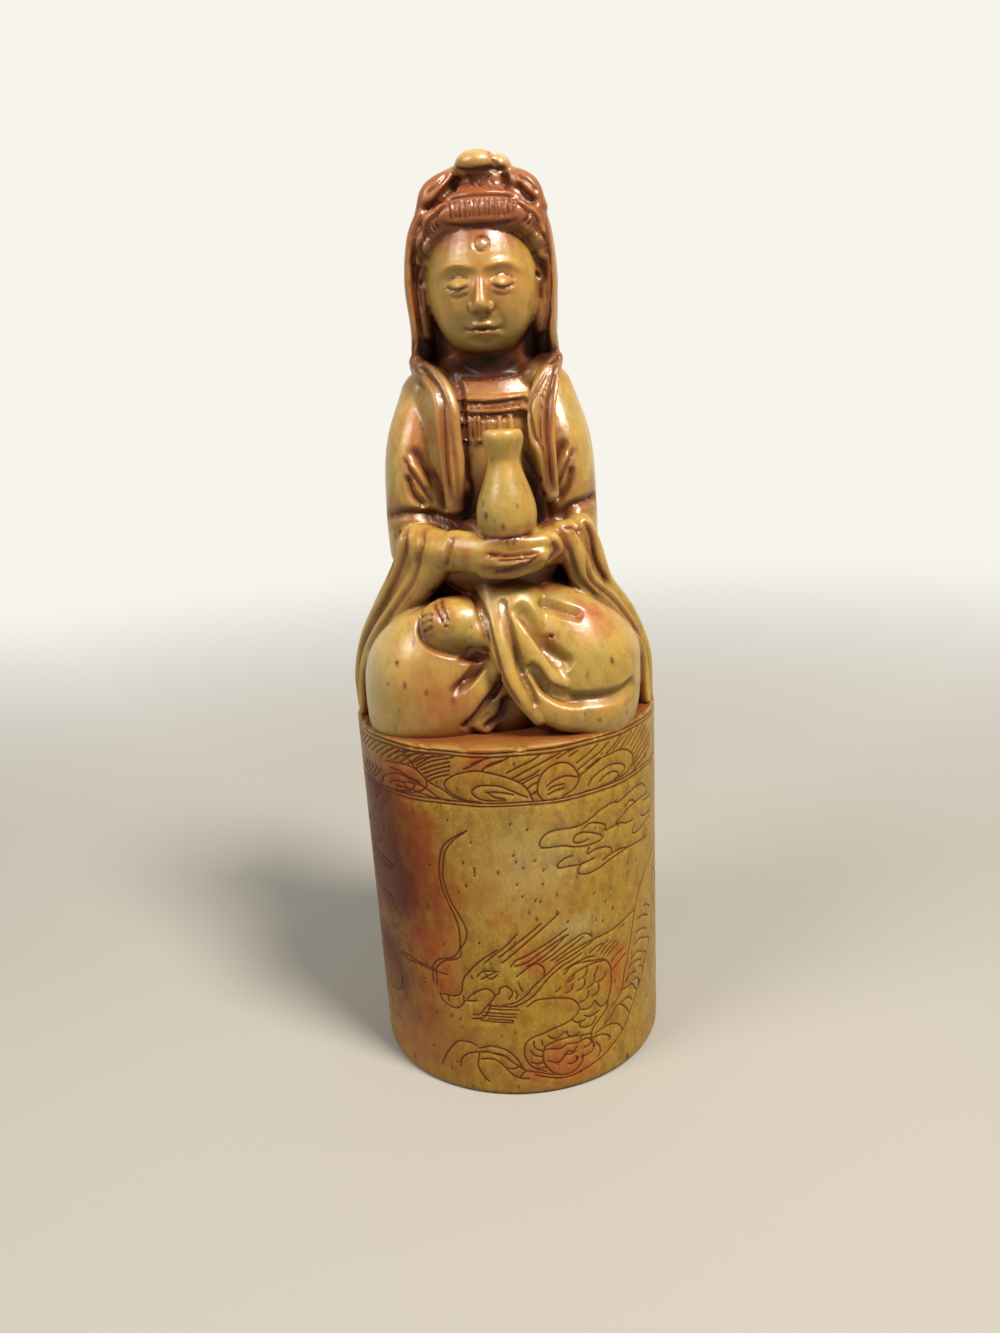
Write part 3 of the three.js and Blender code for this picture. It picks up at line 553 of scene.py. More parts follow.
place = corners_of(block)
flat = unrolled(place)
side = on_side(place) & (place[:, 2] > 0.4) & (place[:, 2] < block_height - 0.2)
radius = np.hypot(place[:, 0], place[:, 1])
block_line = np.zeros(len(place))
for line in engraved:
    near, gap, _ = nearness(flat, line, line_width)
    depth = np.clip(1.25 - gap / (0.5 * line_width + 0.03), 0, 1)
    block_line[near] = np.maximum(block_line[near], depth)
block_line *= side
# The engraved lines are sunk into the side, and the upper edge has small nicks.
true_radius = np.where(side, block_radius(place[:, 2]), radius)
sink = line_depth * block_line
place[:, :2] *= ((true_radius - sink) / np.maximum(radius, 1e-6))[:, None]
for s, reach in nicks:
    outward = np.array((math.sin(s / side_radius), -math.cos(s / side_radius), 0))
    at = shoulder_radius * outward + (0, 0, block_height)
    near = np.clip(1 - np.linalg.norm(place - at, axis=1) / reach, 0, 1)
    place -= (outward * 0.6 + (0, 0, 0.5)) * (near * reach * 0.5)[:, None]
put_corners(block, place)


def thinned(piece, lines):
    """Thins a piece's finest facets, and gives the strokes' darkness at the corners that are left."""
    place = corners_of(piece)
    carved = KDTree(len(place))
    for index, corner in enumerate(place):
        carved.insert(corner, index)
    carved.balance()
    one, other = edges_of(piece)
    length = np.linalg.norm(place[one] - place[other], axis=1)
    shortest = np.full(len(place), 9.0)
    np.minimum.at(shortest, one, length)
    np.minimum.at(shortest, other, length)
    finest = piece.vertex_groups.new(name="finest")
    finest.add(np.flatnonzero(shortest < 0.4).tolist(), 1.0, "REPLACE")
    thinning = piece.modifiers.new("thinned", "DECIMATE")
    triangles = sum(len(polygon.vertices) - 2 for polygon in piece.data.polygons)
    thinning.ratio = min(1.0, most_triangles / triangles)
    thinning.vertex_group = finest.name
    bpy.context.view_layer.objects.active = piece
    bpy.ops.object.modifier_apply(modifier=thinning.name)
    piece.vertex_groups.clear()
    return np.array([lines[carved.find(corner)[1]] for corner in corners_of(piece)])


block_line = thinned(block, block_line)


# ---- The figure's forms --------------------------------------------------------------------
# The finial is roughed out as rounded forms that run into each other: the seat and robe, the
# arms and sleeves, the crossed legs, the hands and vase, the head, the hair and the hood.
forms = []


def skin(rings, sides, put):
    """A closed form from rings of points. The first and last ring close it to a point."""
    bpy.ops.mesh.primitive_uv_sphere_add(segments=sides, ring_count=rings, radius=1)
    piece = bpy.context.object
    unit = np.empty(len(piece.data.vertices) * 3)
    piece.data.vertices.foreach_get("co", unit)
    unit = unit.reshape(-1, 3)
    ring = np.rint(np.arccos(np.clip(unit[:, 2], -1, 1)) / math.pi * rings).astype(int)
    angle = np.arctan2(unit[:, 1], unit[:, 0])
    put_corners(piece, put(ring, angle) + (0, 0, block_height))
    forms.append(piece)
    return piece


def ball(centre, half, turn=(0, 0, 0)):
    """A ball with three half sizes, turned about X, then Y, then Z, in degrees."""
    turned = np.array(Euler([math.radians(angle) for angle in turn]).to_matrix())
    rings, sides = 20, 32

    def put(ring, angle):
        polar = ring / rings * math.pi
        unit = np.stack([np.sin(polar) * np.cos(angle), np.sin(polar) * np.sin(angle), np.cos(polar)], 1)
        return (unit * half) @ turned.T + centre

    return skin(rings, sides, put)


def roll(points, side=1, outward=(0, -1, 0), sides=20, steps=6):
    """A round-ended roll along a curve of [x, y, z, half width, half height towards the front]."""
    rows = np.array(points, float)
    rows[:, 0] *= side
    facing = np.array(outward, float) * (side, 1, 1)
    count = (len(rows) - 1) * steps + 1
    path = smooth_path(rows, count)
    along = np.gradient(path[:, :3], axis=0)
    along /= np.linalg.norm(along, axis=1)[:, None]
    across = np.cross(along, facing)
    across /= np.linalg.norm(across, axis=1)[:, None]
    out = np.cross(across, along)
    ends = 6
    rings = count - 1 + 2 * ends

    def put(ring, angle):
        step = np.clip(ring - ends, 0, count - 1)
        cap = np.maximum(np.maximum(ends - ring, ring - ends - count + 1), 0) / ends * math.pi / 2
        width, height = path[step, 3], path[step, 4]
        past = np.sin(cap) * np.minimum(width, height) * np.where(ring < ends, -1, 1)
        return (
            path[step, :3]
            + along[step] * past[:, None]
            + across[step] * (np.cos(angle) * width * np.cos(cap))[:, None]
            + out[step] * (np.sin(angle) * height * np.cos(cap))[:, None]
        )

    return skin(rings, sides, put)


def even(places, radius):
    return [(*place, radius, radius) for place in places]


def stacked(sections, squareness, sides=96, steps=8):
    """A body built up from level sections of [z, half width, front y, back y, middle x]."""
    rows = np.array([(*section, 0)[:5] for section in sections], float)
    count = (len(rows) - 1) * steps + 1
    path = smooth_path(rows, count)

    def squared(value):
        return np.sign(value) * np.abs(value) ** squareness

    def put(ring, angle):
        level = path[np.clip(ring - 1, 0, count - 1)]
        full = ((ring > 0) & (ring <= count)).astype(float)
        x = level[:, 4] + level[:, 1] * full * squared(np.cos(angle))
        middle, half = (level[:, 2] + level[:, 3]) / 2, (level[:, 3] - level[:, 2]) / 2
        y = middle + half * full * squared(np.sin(angle))
        return np.stack([x, y, level[:, 0]], axis=1)

    return skin(count + 1, sides, put)


def turned(profile, centre, sides=64, steps=4):
    """A form turned on a lathe from [radius, height] pairs, standing at a place."""
    rows = smooth_path(profile, (len(profile) - 1) * steps + 1)

    def put(ring, angle):
        radius, height = np.maximum(rows[ring, 0], 0), rows[ring, 1]
        radius = np.where((ring == 0) | (ring == len(rows) - 1), 0, radius)
        return np.stack([radius * np.cos(angle), radius * np.sin(angle), height], 1) + centre

    return skin(len(rows) - 1, sides, put)


def both(make):
    return [make(side) for side in (-1, 1)]


cuts = []  # chisel strokes, made once the forms are one


def cut(points, width=0.6, depth=0.4, shape="v", dark=1.0, side=1, ends=0.12):
    """A chisel stroke, raised where the depth is below 0. Points are (x, z) on the front, or (x, y, z)."""
    rows = [(side * p[0], None, p[1]) if len(p) == 2 else (side * p[0], p[1], p[2]) for p in points]
    cuts.append(dict(rows=rows, width=width, depth=depth, shape=shape, dark=dark, ends=ends))


# The robe, from the seat up to the shoulders.
robe_sections = [
    (-1.6, 21.6, -8.5, 20.4),
    (-0.6, 21.8, -8.5, 20.6),
    (3, 22.7, -8.5, 20.8, -0.1),
    (7, 22.5, -9, 20.2, -0.1),
    (11, 21.2, -9, 18.8, -0.1),
    (15, 18.6, -9, 16.4, -0.2),
    (19, 16.0, -9.4, 14.4, -0.2),
    (26, 14.2, -9.6, 13.0, -0.3),
    (36, 13.4, -9.4, 12.4, -0.5),
    (45, 12.2, -8.6, 11.6, -0.7),
    (48.5, 10.2, -7.2, 10.8, -0.4),
    (52, 7.0, -4.0, 9.6, 0),
]
stacked(robe_sections, 0.86)
for x in (-7, 0, 7):  # three long folds down the back
    places = [(x * (1.6 - z / 60), 21, z) for z in (44, 38, 32, 27, 22, 17, 13, 9, 5)]
    cut(places, 1.7, 0.75, "u", dark=0.35)

# The upper arms, and the forearms that turn in to the hands.
for side, lean in ((-1, 0.1), (1, -0.5)):
    roll(
        [
            (8.0 + lean, 1.0, 46.0, 5.0, 5.8),
            (9.5 + lean, -0.6, 39, 5.6, 7.6),
            (10.2 + lean, -1.2, 31, 5.3, 8.0),
            (10.9 + lean, -0.6, 25.4, 4.6, 7.4),
        ],
        side,
        (0.25, -1, 0),
        sides=32,
    )
    roll(
        [(11.6, -4.4, 26.4, 3.6, 3.4), (9.4, -9.6, 26.0, 3.3, 3.2), (5.4, -13.4, 25.6, 2.9, 2.7)],
        side,
        (0, 0, 1),
    )

# The sleeves fall from the wrists, out over the knees and down to the block, in two rolls each.
sleeve_out = (1, -1.3, 0.4)
roll(
    [
        (7.5, -11.9, 26.6, 3.0, 2.1),
        (9.2, -11.4, 22.8, 2.8, 2.1),
        (13.5, -9.3, 17.8, 2.0, 1.8),
        (17.6, -6.5, 13.0, 1.5, 1.8),
        (20.3, -4.4, 7.4, 1.0, 1.8),
        (20.9, -4.0, 0.6, 1.0, 2.0),
    ],
    -1,
    sleeve_out,
)
roll(
    [
        (11.2, -9.2, 27.0, 2.2, 2.4),
        (12.8, -8.2, 22.6, 2.3, 2.4),
        (16.3, -5.8, 17.0, 2.0, 2.4),
        (19.4, -3.2, 11.6, 1.7, 2.4),
        (21.2, -1.4, 5.8, 1.2, 2.4),
        (21.2, -1.2, 0.8, 1.2, 2.4),
    ],
    -1,
    sleeve_out,
)
roll(
    [
        (9.8, -12.0, 27.2, 2.1, 2.0),
        (11.3, -11.4, 24.2, 2.0, 2.0),
        (12.9, -10.0, 20.0, 1.8, 1.8),
        (16.8, -7.4, 15.6, 1.5, 1.7),
        (20.2, -4.6, 9.4, 1.0, 1.8),
        (20.9, -4.0, 0.6, 1.0, 2.0),
    ],
    1,
    sleeve_out,
)
roll(
    [
        (12.4, -8.6, 27.6, 2.0, 2.2),
        (13.6, -7.6, 24.2, 2.0, 2.2),
        (15.2, -6.2, 19.2, 1.8, 2.2),
        (18.5, -3.6, 14.0, 1.6, 2.3),
        (20.9, -1.6, 7.6, 1.2, 2.4),
        (21.2, -1.2, 0.8, 1.2, 2.4),
    ],
    1,
    sleeve_out,
)

# The crossed legs under the robe: two knees, cut off level at the block, and the lap behind them.
stacked(
    [
        (-1.6, 10.2, -17.0, 4, -9.6),
        (0.6, 10.7, -17.9, 4, -9.5),
        (4, 10.9, -18.5, 4, -9.4),
        (8, 10.7, -18.5, 4, -9.4),
        (11.5, 9.8, -17.6, 3, -9.2),
        (14.5, 8.2, -16.0, 2, -8.8),
        (17, 6.0, -14.0, 0, -8.0),
        (18.6, 3.0, -11.0, -2, -7.4),
    ],
    0.94,
)
stacked(
    [
        (-1.6, 8.0, -17.4, 4, 11.6),
        (0.6, 8.6, -18.6, 4, 11.4),
        (3, 9.2, -19.0, 4, 11.2),
        (7, 9.7, -18.8, 4, 10.9),
        (10.5, 9.8, -18.3, 3, 10.6),
        (14, 8.9, -17.2, 2, 9.8),
        (17, 7.4, -15.4, 1, 8.8),
        (19.4, 5.6, -13.0, 0, 7.4),
        (20.8, 2.6, -10.0, -1, 6.6),
    ],
    0.94,
)
ball((-1.2, -8.0, 13.6), (10.4, 7.4, 6.4))
ball((0.4, -9.4, 24), (9.0, 4.6, 6.4))
ball((2.6, -12.0, 12.0), (6.6, 6.3, 9.6))
ball((-0.4, -12.2, 4.0), (7.0, 4.2, 8.0))

# The foot lies on the other thigh, sole up, and its toes point to the figure's right.
ball((-5.0, -13.6, 15.6), (5.9, 4.2, 3.9), (0, 8, 10))
ball((-2.6, -14.4, 14.6), (3.6, 3.4, 2.6), (0, 20, 0))
for n in range(5):
    up = n / 4
    ball((-9.3 + 0.9 * up, -15.2 + 1.4 * up, 13.6 + 4.2 * up), (1.5, 1.1, 0.72))
roll([(-7.0, -15.4, 15.6, 0.8, 0.7), (-7.6, -14.9, 17.4, 0.9, 0.9), (-8.0, -13.6, 18.6, 0.8, 0.8)])

# The cloth over the lap: a band that falls between the knees, the folds that sweep from it over
# the left thigh, the hem under the left knee, and the wedge-shaped ends of cloth under the foot.
roll(
    [
        (-0.4, -12.2, 20.4, 2.2, 1.6),
        (0.3, -16.0, 15.2, 1.9, 1.9),
        (1.5, -18.0, 10.2, 1.6, 1.8),
        (3.4, -18.6, 6.0, 1.4, 1.6),
        (5.6, -18.6, 2.8, 1.2, 1.3),
    ]
)
roll(
    [
        (2.2, -13.4, 19.6, 1.2, 1.3),
        (3.4, -16.6, 15.6, 1.5, 1.6),
        (5.2, -18.0, 11.6, 1.7, 1.5),
        (7.4, -18.6, 8.6, 1.2, 1.2),
        (9.4, -18.6, 7.4, 0.7, 0.8),
    ]
)
roll(
    [
        (4.6, -18.2, 9.0, 1.0, 0.8),
        (6.0, -18.8, 5.6, 2.0, 1.1),
        (9.2, -18.8, 3.2, 2.6, 1.1),
        (13.8, -16.8, 2.6, 2.6, 1.2),
        (17.8, -12.8, 3.2, 2.2, 1.3),
    ]
)
roll([(-0.8, -15.4, 10.0, 1.8, 1.2), (-2.8, -16.6, 6.8, 2.3, 1.1), (-4.8, -17.0, 3.8, 2.3, 1.0),
    (-6.2, -16.6, 1.4, 1.6, 0.9)])
roll([(1.0, -15.6, 7.2, 1.6, 1.2), (-0.8, -16.0, 4.2, 2.0, 1.0), (-3.0, -16.4, 1.2, 2.0, 0.9)])

# The hands, cupped one in the other, and the vase that stands in them.
roll(
    [
        (-5.0, -13.6, 26.0, 2.8, 2.6),
        (-0.6, -15.2, 25.5, 3.0, 2.6),
        (4.4, -15.4, 25.4, 3.0, 2.4),
        (8.2, -13.6, 26.2, 2.2, 2.0),
    ]
)
roll(even([(-1.0, -16.2, 26.8), (3.0, -17.0, 26.9), (7.2, -15.8, 26.9)], 1.1))
roll(even([(-1.0, -16.6, 24.9), (3.0, -17.4, 24.8), (6.8, -16.4, 25.2)], 1.25))
roll(even([(-1.0, -15.8, 23.3), (3.0, -16.6, 23.3), (6.4, -15.7, 24.2)], 1.1))
vase_height = 14.8
turned(
    [
        (0, 0),
        (3.5, 0),
        (3.9, vase_height * 0.1),
        (4.15, vase_height * 0.23),
        (3.86, vase_height * 0.37),
        (2.82, vase_height * 0.57),
        (2.2, vase_height * 0.71),
        (2.38, vase_height * 0.79),
        (2.75, vase_height * 0.89),
        (2.75, vase_height * 0.95),
        (2.2, vase_height),
        (0, vase_height),
    ],
    (2.4, -14.4, 27.2),
)

# The lapels run on from the hood's border, and the chest between them has corded ornaments.
roll(
    [
        (9.8, -3.2, 51.6, 1.1, 1.1),
        (7.0, -7.0, 48.8, 1.6, 1.0),
        (5.5, -9.2, 45.4, 1.9, 1.0),
        (5.0, -10.0, 41.2, 1.9, 1.0),
        (4.9, -10.2, 36.6, 1.7, 1.0),
        (4.9, -10.2, 31.4, 1.4, 0.9),
    ],
    -1,
)
roll(
    [
        (10.0, -3.4, 51.0, 1.1, 1.2),
        (8.9, -7.0, 48.6, 1.7, 1.1),
        (7.9, -8.9, 45.2, 2.0, 1.1),
        (7.6, -9.8, 41.2, 1.9, 1.1),
        (8.0, -10.2, 37.4, 1.6, 1.1),
        (8.4, -10.2, 32.6, 1.3, 1.0),
    ]
)
both(lambda side: roll([(8.8, -1.2, 50.4, 1.8, 2.8), (6.4, -4.6, 48.4, 2.2, 2.8)], side))
roll([(0.8, -1.0, 43.5, 5.4, 6.4), (0.4, -1.0, 56, 4.6, 5.0)], sides=40)
roll([(2.2, -9.6, 30, 2.4, 2.4), (2.8, -9.4, 39, 1.8, 2.4)])
for y, z in ((-8.8, 45.9), (-9.0, 44.4)):
    roll(even([(-3.6, y + 0.8, z + 0.3), (1.2, y, z), (6.0, y + 0.8, z + 0.2)], 0.6))
for n in range(5):
    x = -2.6 + 1.5 * n
    roll(even([(x, -9.1, 43.2), (x, -9.2, 40.6)], 0.55))

# The head is calm, on general proportions: thirds from hair to brow, nose and chin, and a face
# five eyes wide, with lowered lids. Its softer features are raised or sunk as low swellings.
head = np.array((0.3, -3.0, 61.6))
ball(head, (7.8, 7.6, 10.2))
ball(head + (0, -1.2, -3.7), (6.7, 6.1, 6.3))
roll([(*(head + (0, -6.7, 1.6)), 0.7, 0.7), (*(head + (0, -7.5, -1.4)), 0.75, 0.85),
    (*(head + (0, -8.0, -3.3)), 1.0, 1.0)])
both(lambda side: ball(head + (side * 0.95, -7.2, -3.8), (0.7, 0.9, 0.65)))
swellings = []  # (x, z) from the head's middle, reach across and up, height, tilt in degrees


def swell(x, z, across, up, height, tilt=0):
    for side in (-1, 1) if x else (1,):
        swellings.append((side * x, z, across, up, height, side * math.radians(tilt)))


swell(1.9, 1.55, 1.2, 0.50, 0.30, 14)  # the brows, in an even arch
swell(3.4, 1.85, 1.3, 0.50, 0.30)
swell(4.9, 1.25, 1.1, 0.50, 0.26, -26)
swell(2.9, -0.2, 2.4, 1.3, -0.72)  # the sockets
swell(3.0, -0.7, 1.65, 0.95, 1.0)  # the lowered lids
swell(4.3, -3.0, 2.0, 1.9, 0.42)  # the cheeks
swell(2.5, -5.2, 0.55, 1.5, -0.22, 14)
swell(0, -5.15, 0.32, 0.6, -0.28)  # the groove over the lip
swell(0.75, -5.95, 0.95, 0.42, 0.50, -10)  # the upper and the lower lip
swell(0, -6.95, 1.45, 0.50, 0.62)
swell(2.45, -6.45, 0.5, 0.5, -0.28)
swell(0, -7.75, 1.5, 0.38, -0.34)
swell(0, -8.9, 1.9, 1.0, 0.55)  # the chin

# Long ears, each a rim drawn downwards to the lobe, against the hair behind them.
hair_behind = [(8.3, -1.2, 67, 1.7, 2.6), (8.7, -1.2, 60, 1.7, 2.7), (8.4, -0.8, 53, 1.7, 2.6)]
both(lambda side: roll(hair_behind, side))
both(
    lambda side: roll(
        [
            (8.1, -3.0, 64.0, 1.1, 1.6),
            (8.6, -2.8, 62.0, 1.5, 1.7),
            (8.5, -3.0, 59.4, 1.2, 1.6),
            (8.2, -3.2, 57.0, 1.0, 1.4),
            (8.1, -3.2, 55.4, 1.2, 1.4),
        ],
        side,
    )
)

# The hair: a low band over the forehead, curled locks over each temple, the topknot and its
# button.
roll(
    [
        (-4.2, -7.2, 69.7, 1.9, 1.5),
        (-1.6, -8.1, 69.9, 2.0, 1.4),
        (1.0, -8.4, 69.9, 2.0, 1.4),
        (3.6, -8.1, 69.8, 2.0, 1.4),
        (5.8, -7.2, 69.5, 1.9, 1.5),
    ]
)
ball((-5.2, -6.4, 69.1), (2.1, 2.0, 2.1))
ball((-6.9, -5.0, 67.2), (1.8, 2.1, 2.0))
ball((-8.0, -3.8, 65.2), (1.4, 1.9, 1.6))
ball((6.6, -6.2, 69.0), (2.1, 2.0, 2.1))
ball((8.0, -4.8, 67.2), (1.7, 2.0, 2.0))
ball((8.7, -3.8, 65.2), (1.3, 1.9, 1.6))
ball((0.6, -1.4, 69.6), (8.0, 7.2, 5.6))
roll([(1.4, -2.6, 71.8, 4.0, 3.8), (1.3, -2.8, 74.8, 3.6, 3.2)], outward=(0, -1, 0.01))
ball((0.4, -4.2, 76.5), (3.0, 2.9, 2.0))
ball((-2.4, -1.8, 74.2), (2.4, 2.6, 2.8))
ball((4.4, -1.8, 73.8), (2.4, 2.8, 2.8))
ball((-1.7, -1.2, 75.6), (2.4, 2.6, 1.9))
ball((3.4, -3.2, 76.2), (1.7, 2.4, 1.7))

# The hood: a shell that is open in front and hangs from the topknot to the shoulders. Its front
# edge is a thick rim, which turns back at the top in a leaf-shaped fold each side.
hood_wall = 2.1


def hood_sections(thin):
    return [
        (49, 11.2 - thin, -2.6, 11.4 - thin, 0),
        (53, 10.4 - thin, -3.2, 10.2 - thin, 0),
        (58, 10.7 - thin, -3.6, 9.6 - thin, 0),
        (63, 10.7 - thin, -3.8, 9.6 - thin, 0),
        (68, 10.0 - thin, -4.2, 9.2 - thin, 0.2),
        (72, 8.2 - thin, -4.2, 8.0 - thin, 0.6),
        (75, 6.0 - thin, -3.0, 6.2 - thin, 0.8),
        (77.0 - thin, 4.4 - thin * 0.6, -1.6, 4.2 - thin * 0.6, 0.5),
        (78.1 - thin * 1.2, 2.0, -0.6, 2.4, 0.4),
    ]


hood = stacked(hood_sections(0), 0.9)
inside = [(z, half, front - 22, back - 5, x) for z, half, front, back, x in hood_sections(hood_wall)]
hollow = stacked(inside, 0.5)
forms.remove(hollow)
cutting = hood.modifiers.new("open the front", "BOOLEAN")
cutting.operation = "DIFFERENCE"
cutting.object = hollow
bpy.context.view_layer.objects.active = hood
bpy.ops.object.modifier_apply(modifier=cutting.name)
bpy.data.objects.remove(hollow)
for side, lean in ((-1, -0.9), (1, 0)):
    roll(
        [
            (9.8, -1.0, 51.6, 0.9, 3.2),
            (9.5, -1.4, 56, 0.9, 3.4),
            (9.9, -1.6, 62, 0.9, 3.6),
            (9.3 + lean * 0.3, -2.0, 67.6, 1.0, 3.8),
            (8.1 + lean, -2.6, 71.0, 1.2, 3.6),
        ],
        side,
    )
roll([(-7.3, -3.8, 70.8, 1.2, 2.0), (-5.6, -3.7, 73.2, 2.0, 2.4), (-3.0, -2.2, 75.5, 1.3, 2.2)])
roll([(8.6, -3.8, 70.8, 1.2, 2.0), (6.8, -3.6, 73.3, 2.0, 2.4), (4.2, -2.0, 75.4, 1.3, 2.2)])

# Chisel strokes on the hair: upright ones on the band, curved ones on the locks, and the cuts
# that fan out over the topknot from under its button.
for n in range(14):
    x = -3.3 + 0.66 * n
    bend = 0.12 * math.sin(2.1 * n)
    cut([(x, 71.7), (x + bend, 70.4), (1.0 + (x - 1.0) * 0.96, 69.0)], 0.36, 0.34, dark=0.6)
cut([(-4.6, 68.9), (-2.3, 68.35), (1.1, 68.2), (3.6, 68.3), (5.6, 68.7)], 0.42, 0.4, dark=0.7)
cut([(-3.9, -6.5, 71.9), (-1.3, -7.6, 72.0), (1.1, -7.8, 72.0), (3.4, -7.2, 72.0),
    (5.8, -6.0, 71.8)], 0.6, 0.6)
middle = 0.6
for side, lean in ((-1, 0.0), (1, 0.5)):
    # Each lock's curve: how far out and how high its points are, and how they move from strand to strand.
    upper = ((4.0, 0.52, 71.4, 0.34), (5.4, 0.5, 70.5, 0.5), (6.0, 0.42, 69.2, 0.52), (5.2, 0.5, 68.1, 0.3))
    lower = ((6.8, 0.34, 68.0, 0.3), (8.0, 0.2, 67.0, 0.3), (8.3, 0.1, 65.8, 0.25), (7.6, 0.12, 64.8, 0.15))
    for lock, strands, width, depth in ((upper, 5, 0.42, 0.55), (lower, 4, 0.40, 0.50)):
        for n in range(strands):
            places = [(middle + side * (x + lean + aside * n), z - down * n) for x, aside, z, down in lock]
            cut(places, width, depth, dark=0.8)
for low in (-1.9, -0.9, 0.1, 1.0, 1.9, 2.9):
    cut([(0.7 + (low - 0.5) * 0.35, -6.2, 75.4), (low, -6.4, 73.8),
        (0.5 + (low - 0.5) * 1.25, -6.4, 72.6)], 0.34, 0.34, dark=0.6)
cut([(-1.0, -5.4, 75.4), (0.7, -6.3, 73.9), (2.5, -5.8, 75.2)], 0.5, 0.5)
cut([(-1.9, -4.0, 75.6), (-2.6, -4.6, 74.2), (-2.9, -5.8, 72.6)], 0.8, 0.6)
cut([(4.0, -4.6, 75.4), (4.3, -5.2, 73.9), (4.6, -5.8, 72.6)], 0.7, 0.6)
cut([(2.6, -5.2, 78.3), (2.9, -6.2, 77.4), (3.1, -5.9, 76.4), (3.2, -5.5, 75.6)], 0.5, 0.5, dark=0.3)
cut([(-2.3, -5.0, 76.2), (-0.9, -5.9, 75.7), (0.8, -6.4, 75.5), (2.5, -6.0, 75.6),
    (4.6, -4.9, 75.5)], 0.6, 0.6)

# The hood's rim is set off from its inner wall, and its folds have a chased edge.
cut([(-7.2, -5.8, 71.2), (-5.6, -4.8, 71.7), (-3.8, -4.3, 73.0), (-2.5, -3.0, 74.8)], 0.8, 0.7)
cut([(5.6, -5.8, 73.7), (6.6, -6.0, 72.3), (8.2, -6.0, 71.1)], 0.7, 0.7)
cut([(-6.4, -6.0, 73.0), (-4.9, -5.5, 74.1), (-3.6, -4.4, 75.3)], 0.4, 0.3, dark=0.5)
cut([(5.8, -5.6, 74.7), (7.3, -5.9, 73.8), (8.5, -5.7, 72.4)], 0.4, 0.3, dark=0.5)
cut([(-7.9, -5.1, 69.3), (-8.7, -5.6, 66.2), (-9.1, -4.1, 63.4), (-9.1, -4.1, 60.2), (-8.9, -4.1, 57.0),
    (-8.3, -3.7, 54.9)],
    0.5, 0.45)
cut([(9.2, -5.3, 69.5), (9.7, -5.5, 66.2), (9.8, -5.2, 63.1), (9.7, -5.0, 60.1), (9.3, -4.7, 57.0),
    (8.8, -3.4, 54.4)],
    0.5, 0.45)
cut([(-9.6, -4.4, 54.6), (-10.3, -3.8, 53.0), (-10.2, -3.6, 52.0)], 0.4, 0.3)
cut([(10.7, -3.6, 52.3), (10.0, -4.2, 52.0), (8.9, -4.5, 51.9), (8.0, -4.4, 52.2)], 0.4, 0.4)
cut([(10.7, -4.3, 51.4), (10.1, -5.8, 50.7), (9.0, -6.7, 50.2)], 0.5, 0.4)

# The hollow of each ear, and its lobe.
for side in (-1, 1):
    cut([(7.9, -5.0, 64.6), (8.7, -4.6, 63.4), (8.8, -4.4, 61.6), (8.3, -4.6, 60.6),
        (8.3, -4.6, 58.4)], 0.45, 0.4, side=side)
    cut([(7.9, -4.6, 62.6), (8.2, -4.6, 61.6)], 0.6, 0.5, side=side)

# The lapels have a ridge down the middle and a groove each side, and the cloth behind is cut in.
cut([(-9.4, -5.4, 51.0), (-6.9, -8.7, 48.7), (-6.0, -10.1, 46.7), (-5.9, -10.9, 43.9), (-6.0, -11.3, 41.4),
    (-6.1, -11.3, 38.1), (-5.8, -11.5, 32.0)], 0.9, 0.7, dark=0.6)
cut([(-8.0, -6.9, 50.6), (-6.2, -9.1, 48.6), (-5.0, -10.0, 46.8), (-4.2, -10.3, 45.0), (-3.9, -10.7, 43.1),
    (-3.7, -11.1, 40.3)],
    0.6, -0.25)
cut([(-7.2, -8.2, 49.4), (-5.2, -10.7, 45.5), (-4.9, -11.3, 42.7), (-4.6, -11.6, 39.9), (-4.3, -11.6, 37.1),
    (-4.1, -11.4, 33.0)],
    0.6, 0.35, dark=0.4)
cut([(-4.5, -5.7, 49.6), (-3.5, -7.7, 47.4), (-3.2, -8.8, 44.9), (-3.3, -9.2, 41.2), (-3.4, -9.4, 37.9),
    (-3.3, -9.4, 33.6)],
    0.9, 0.8)
cut([(9.4, -7.0, 50.2), (8.5, -8.3, 48.9), (7.0, -9.5, 46.8), (6.1, -9.4, 44.6), (6.1, -10.4, 42.6),
    (6.4, -11.2, 40.7), (7.6, -11.9, 38.8), (8.0, -12.0, 36.0), (8.1, -11.8, 33.2)], 0.55, 0.45, dark=0.5)
cut([(9.5, -7.2, 49.9), (8.1, -9.9, 46.8), (7.5, -11.1, 43.9), (7.3, -11.7, 40.7),
    (7.8, -11.9, 38.8)], 0.55, 0.4, dark=0.5)
cut([(9.0, -9.0, 48.0), (8.4, -10.2, 46.1), (8.0, -11.2, 43.2), (7.7, -11.7, 40.7)], 0.4, -0.3)
cut([(10.3, -6.1, 50.4), (9.2, -9.6, 46.1), (8.8, -10.9, 43.1), (8.7, -11.4, 39.7), (8.9, -11.8, 35.1),
    (9.2, -11.2, 32.6)],
    0.9, 0.8)
cut([(5.2, -8.5, 38.6), (6.3, -8.6, 36.3), (7.5, -10.8, 34.6)], 0.6, 0.5)
cut([(5.2, -8.7, 36.0), (6.4, -8.9, 34.0), (8.0, -10.8, 32.6)], 0.6, 0.5)
cut([(-3.4, -9.4, 36.0), (-2.6, -9.0, 34.0), (-3.6, -9.6, 31.4)], 0.6, 0.5)

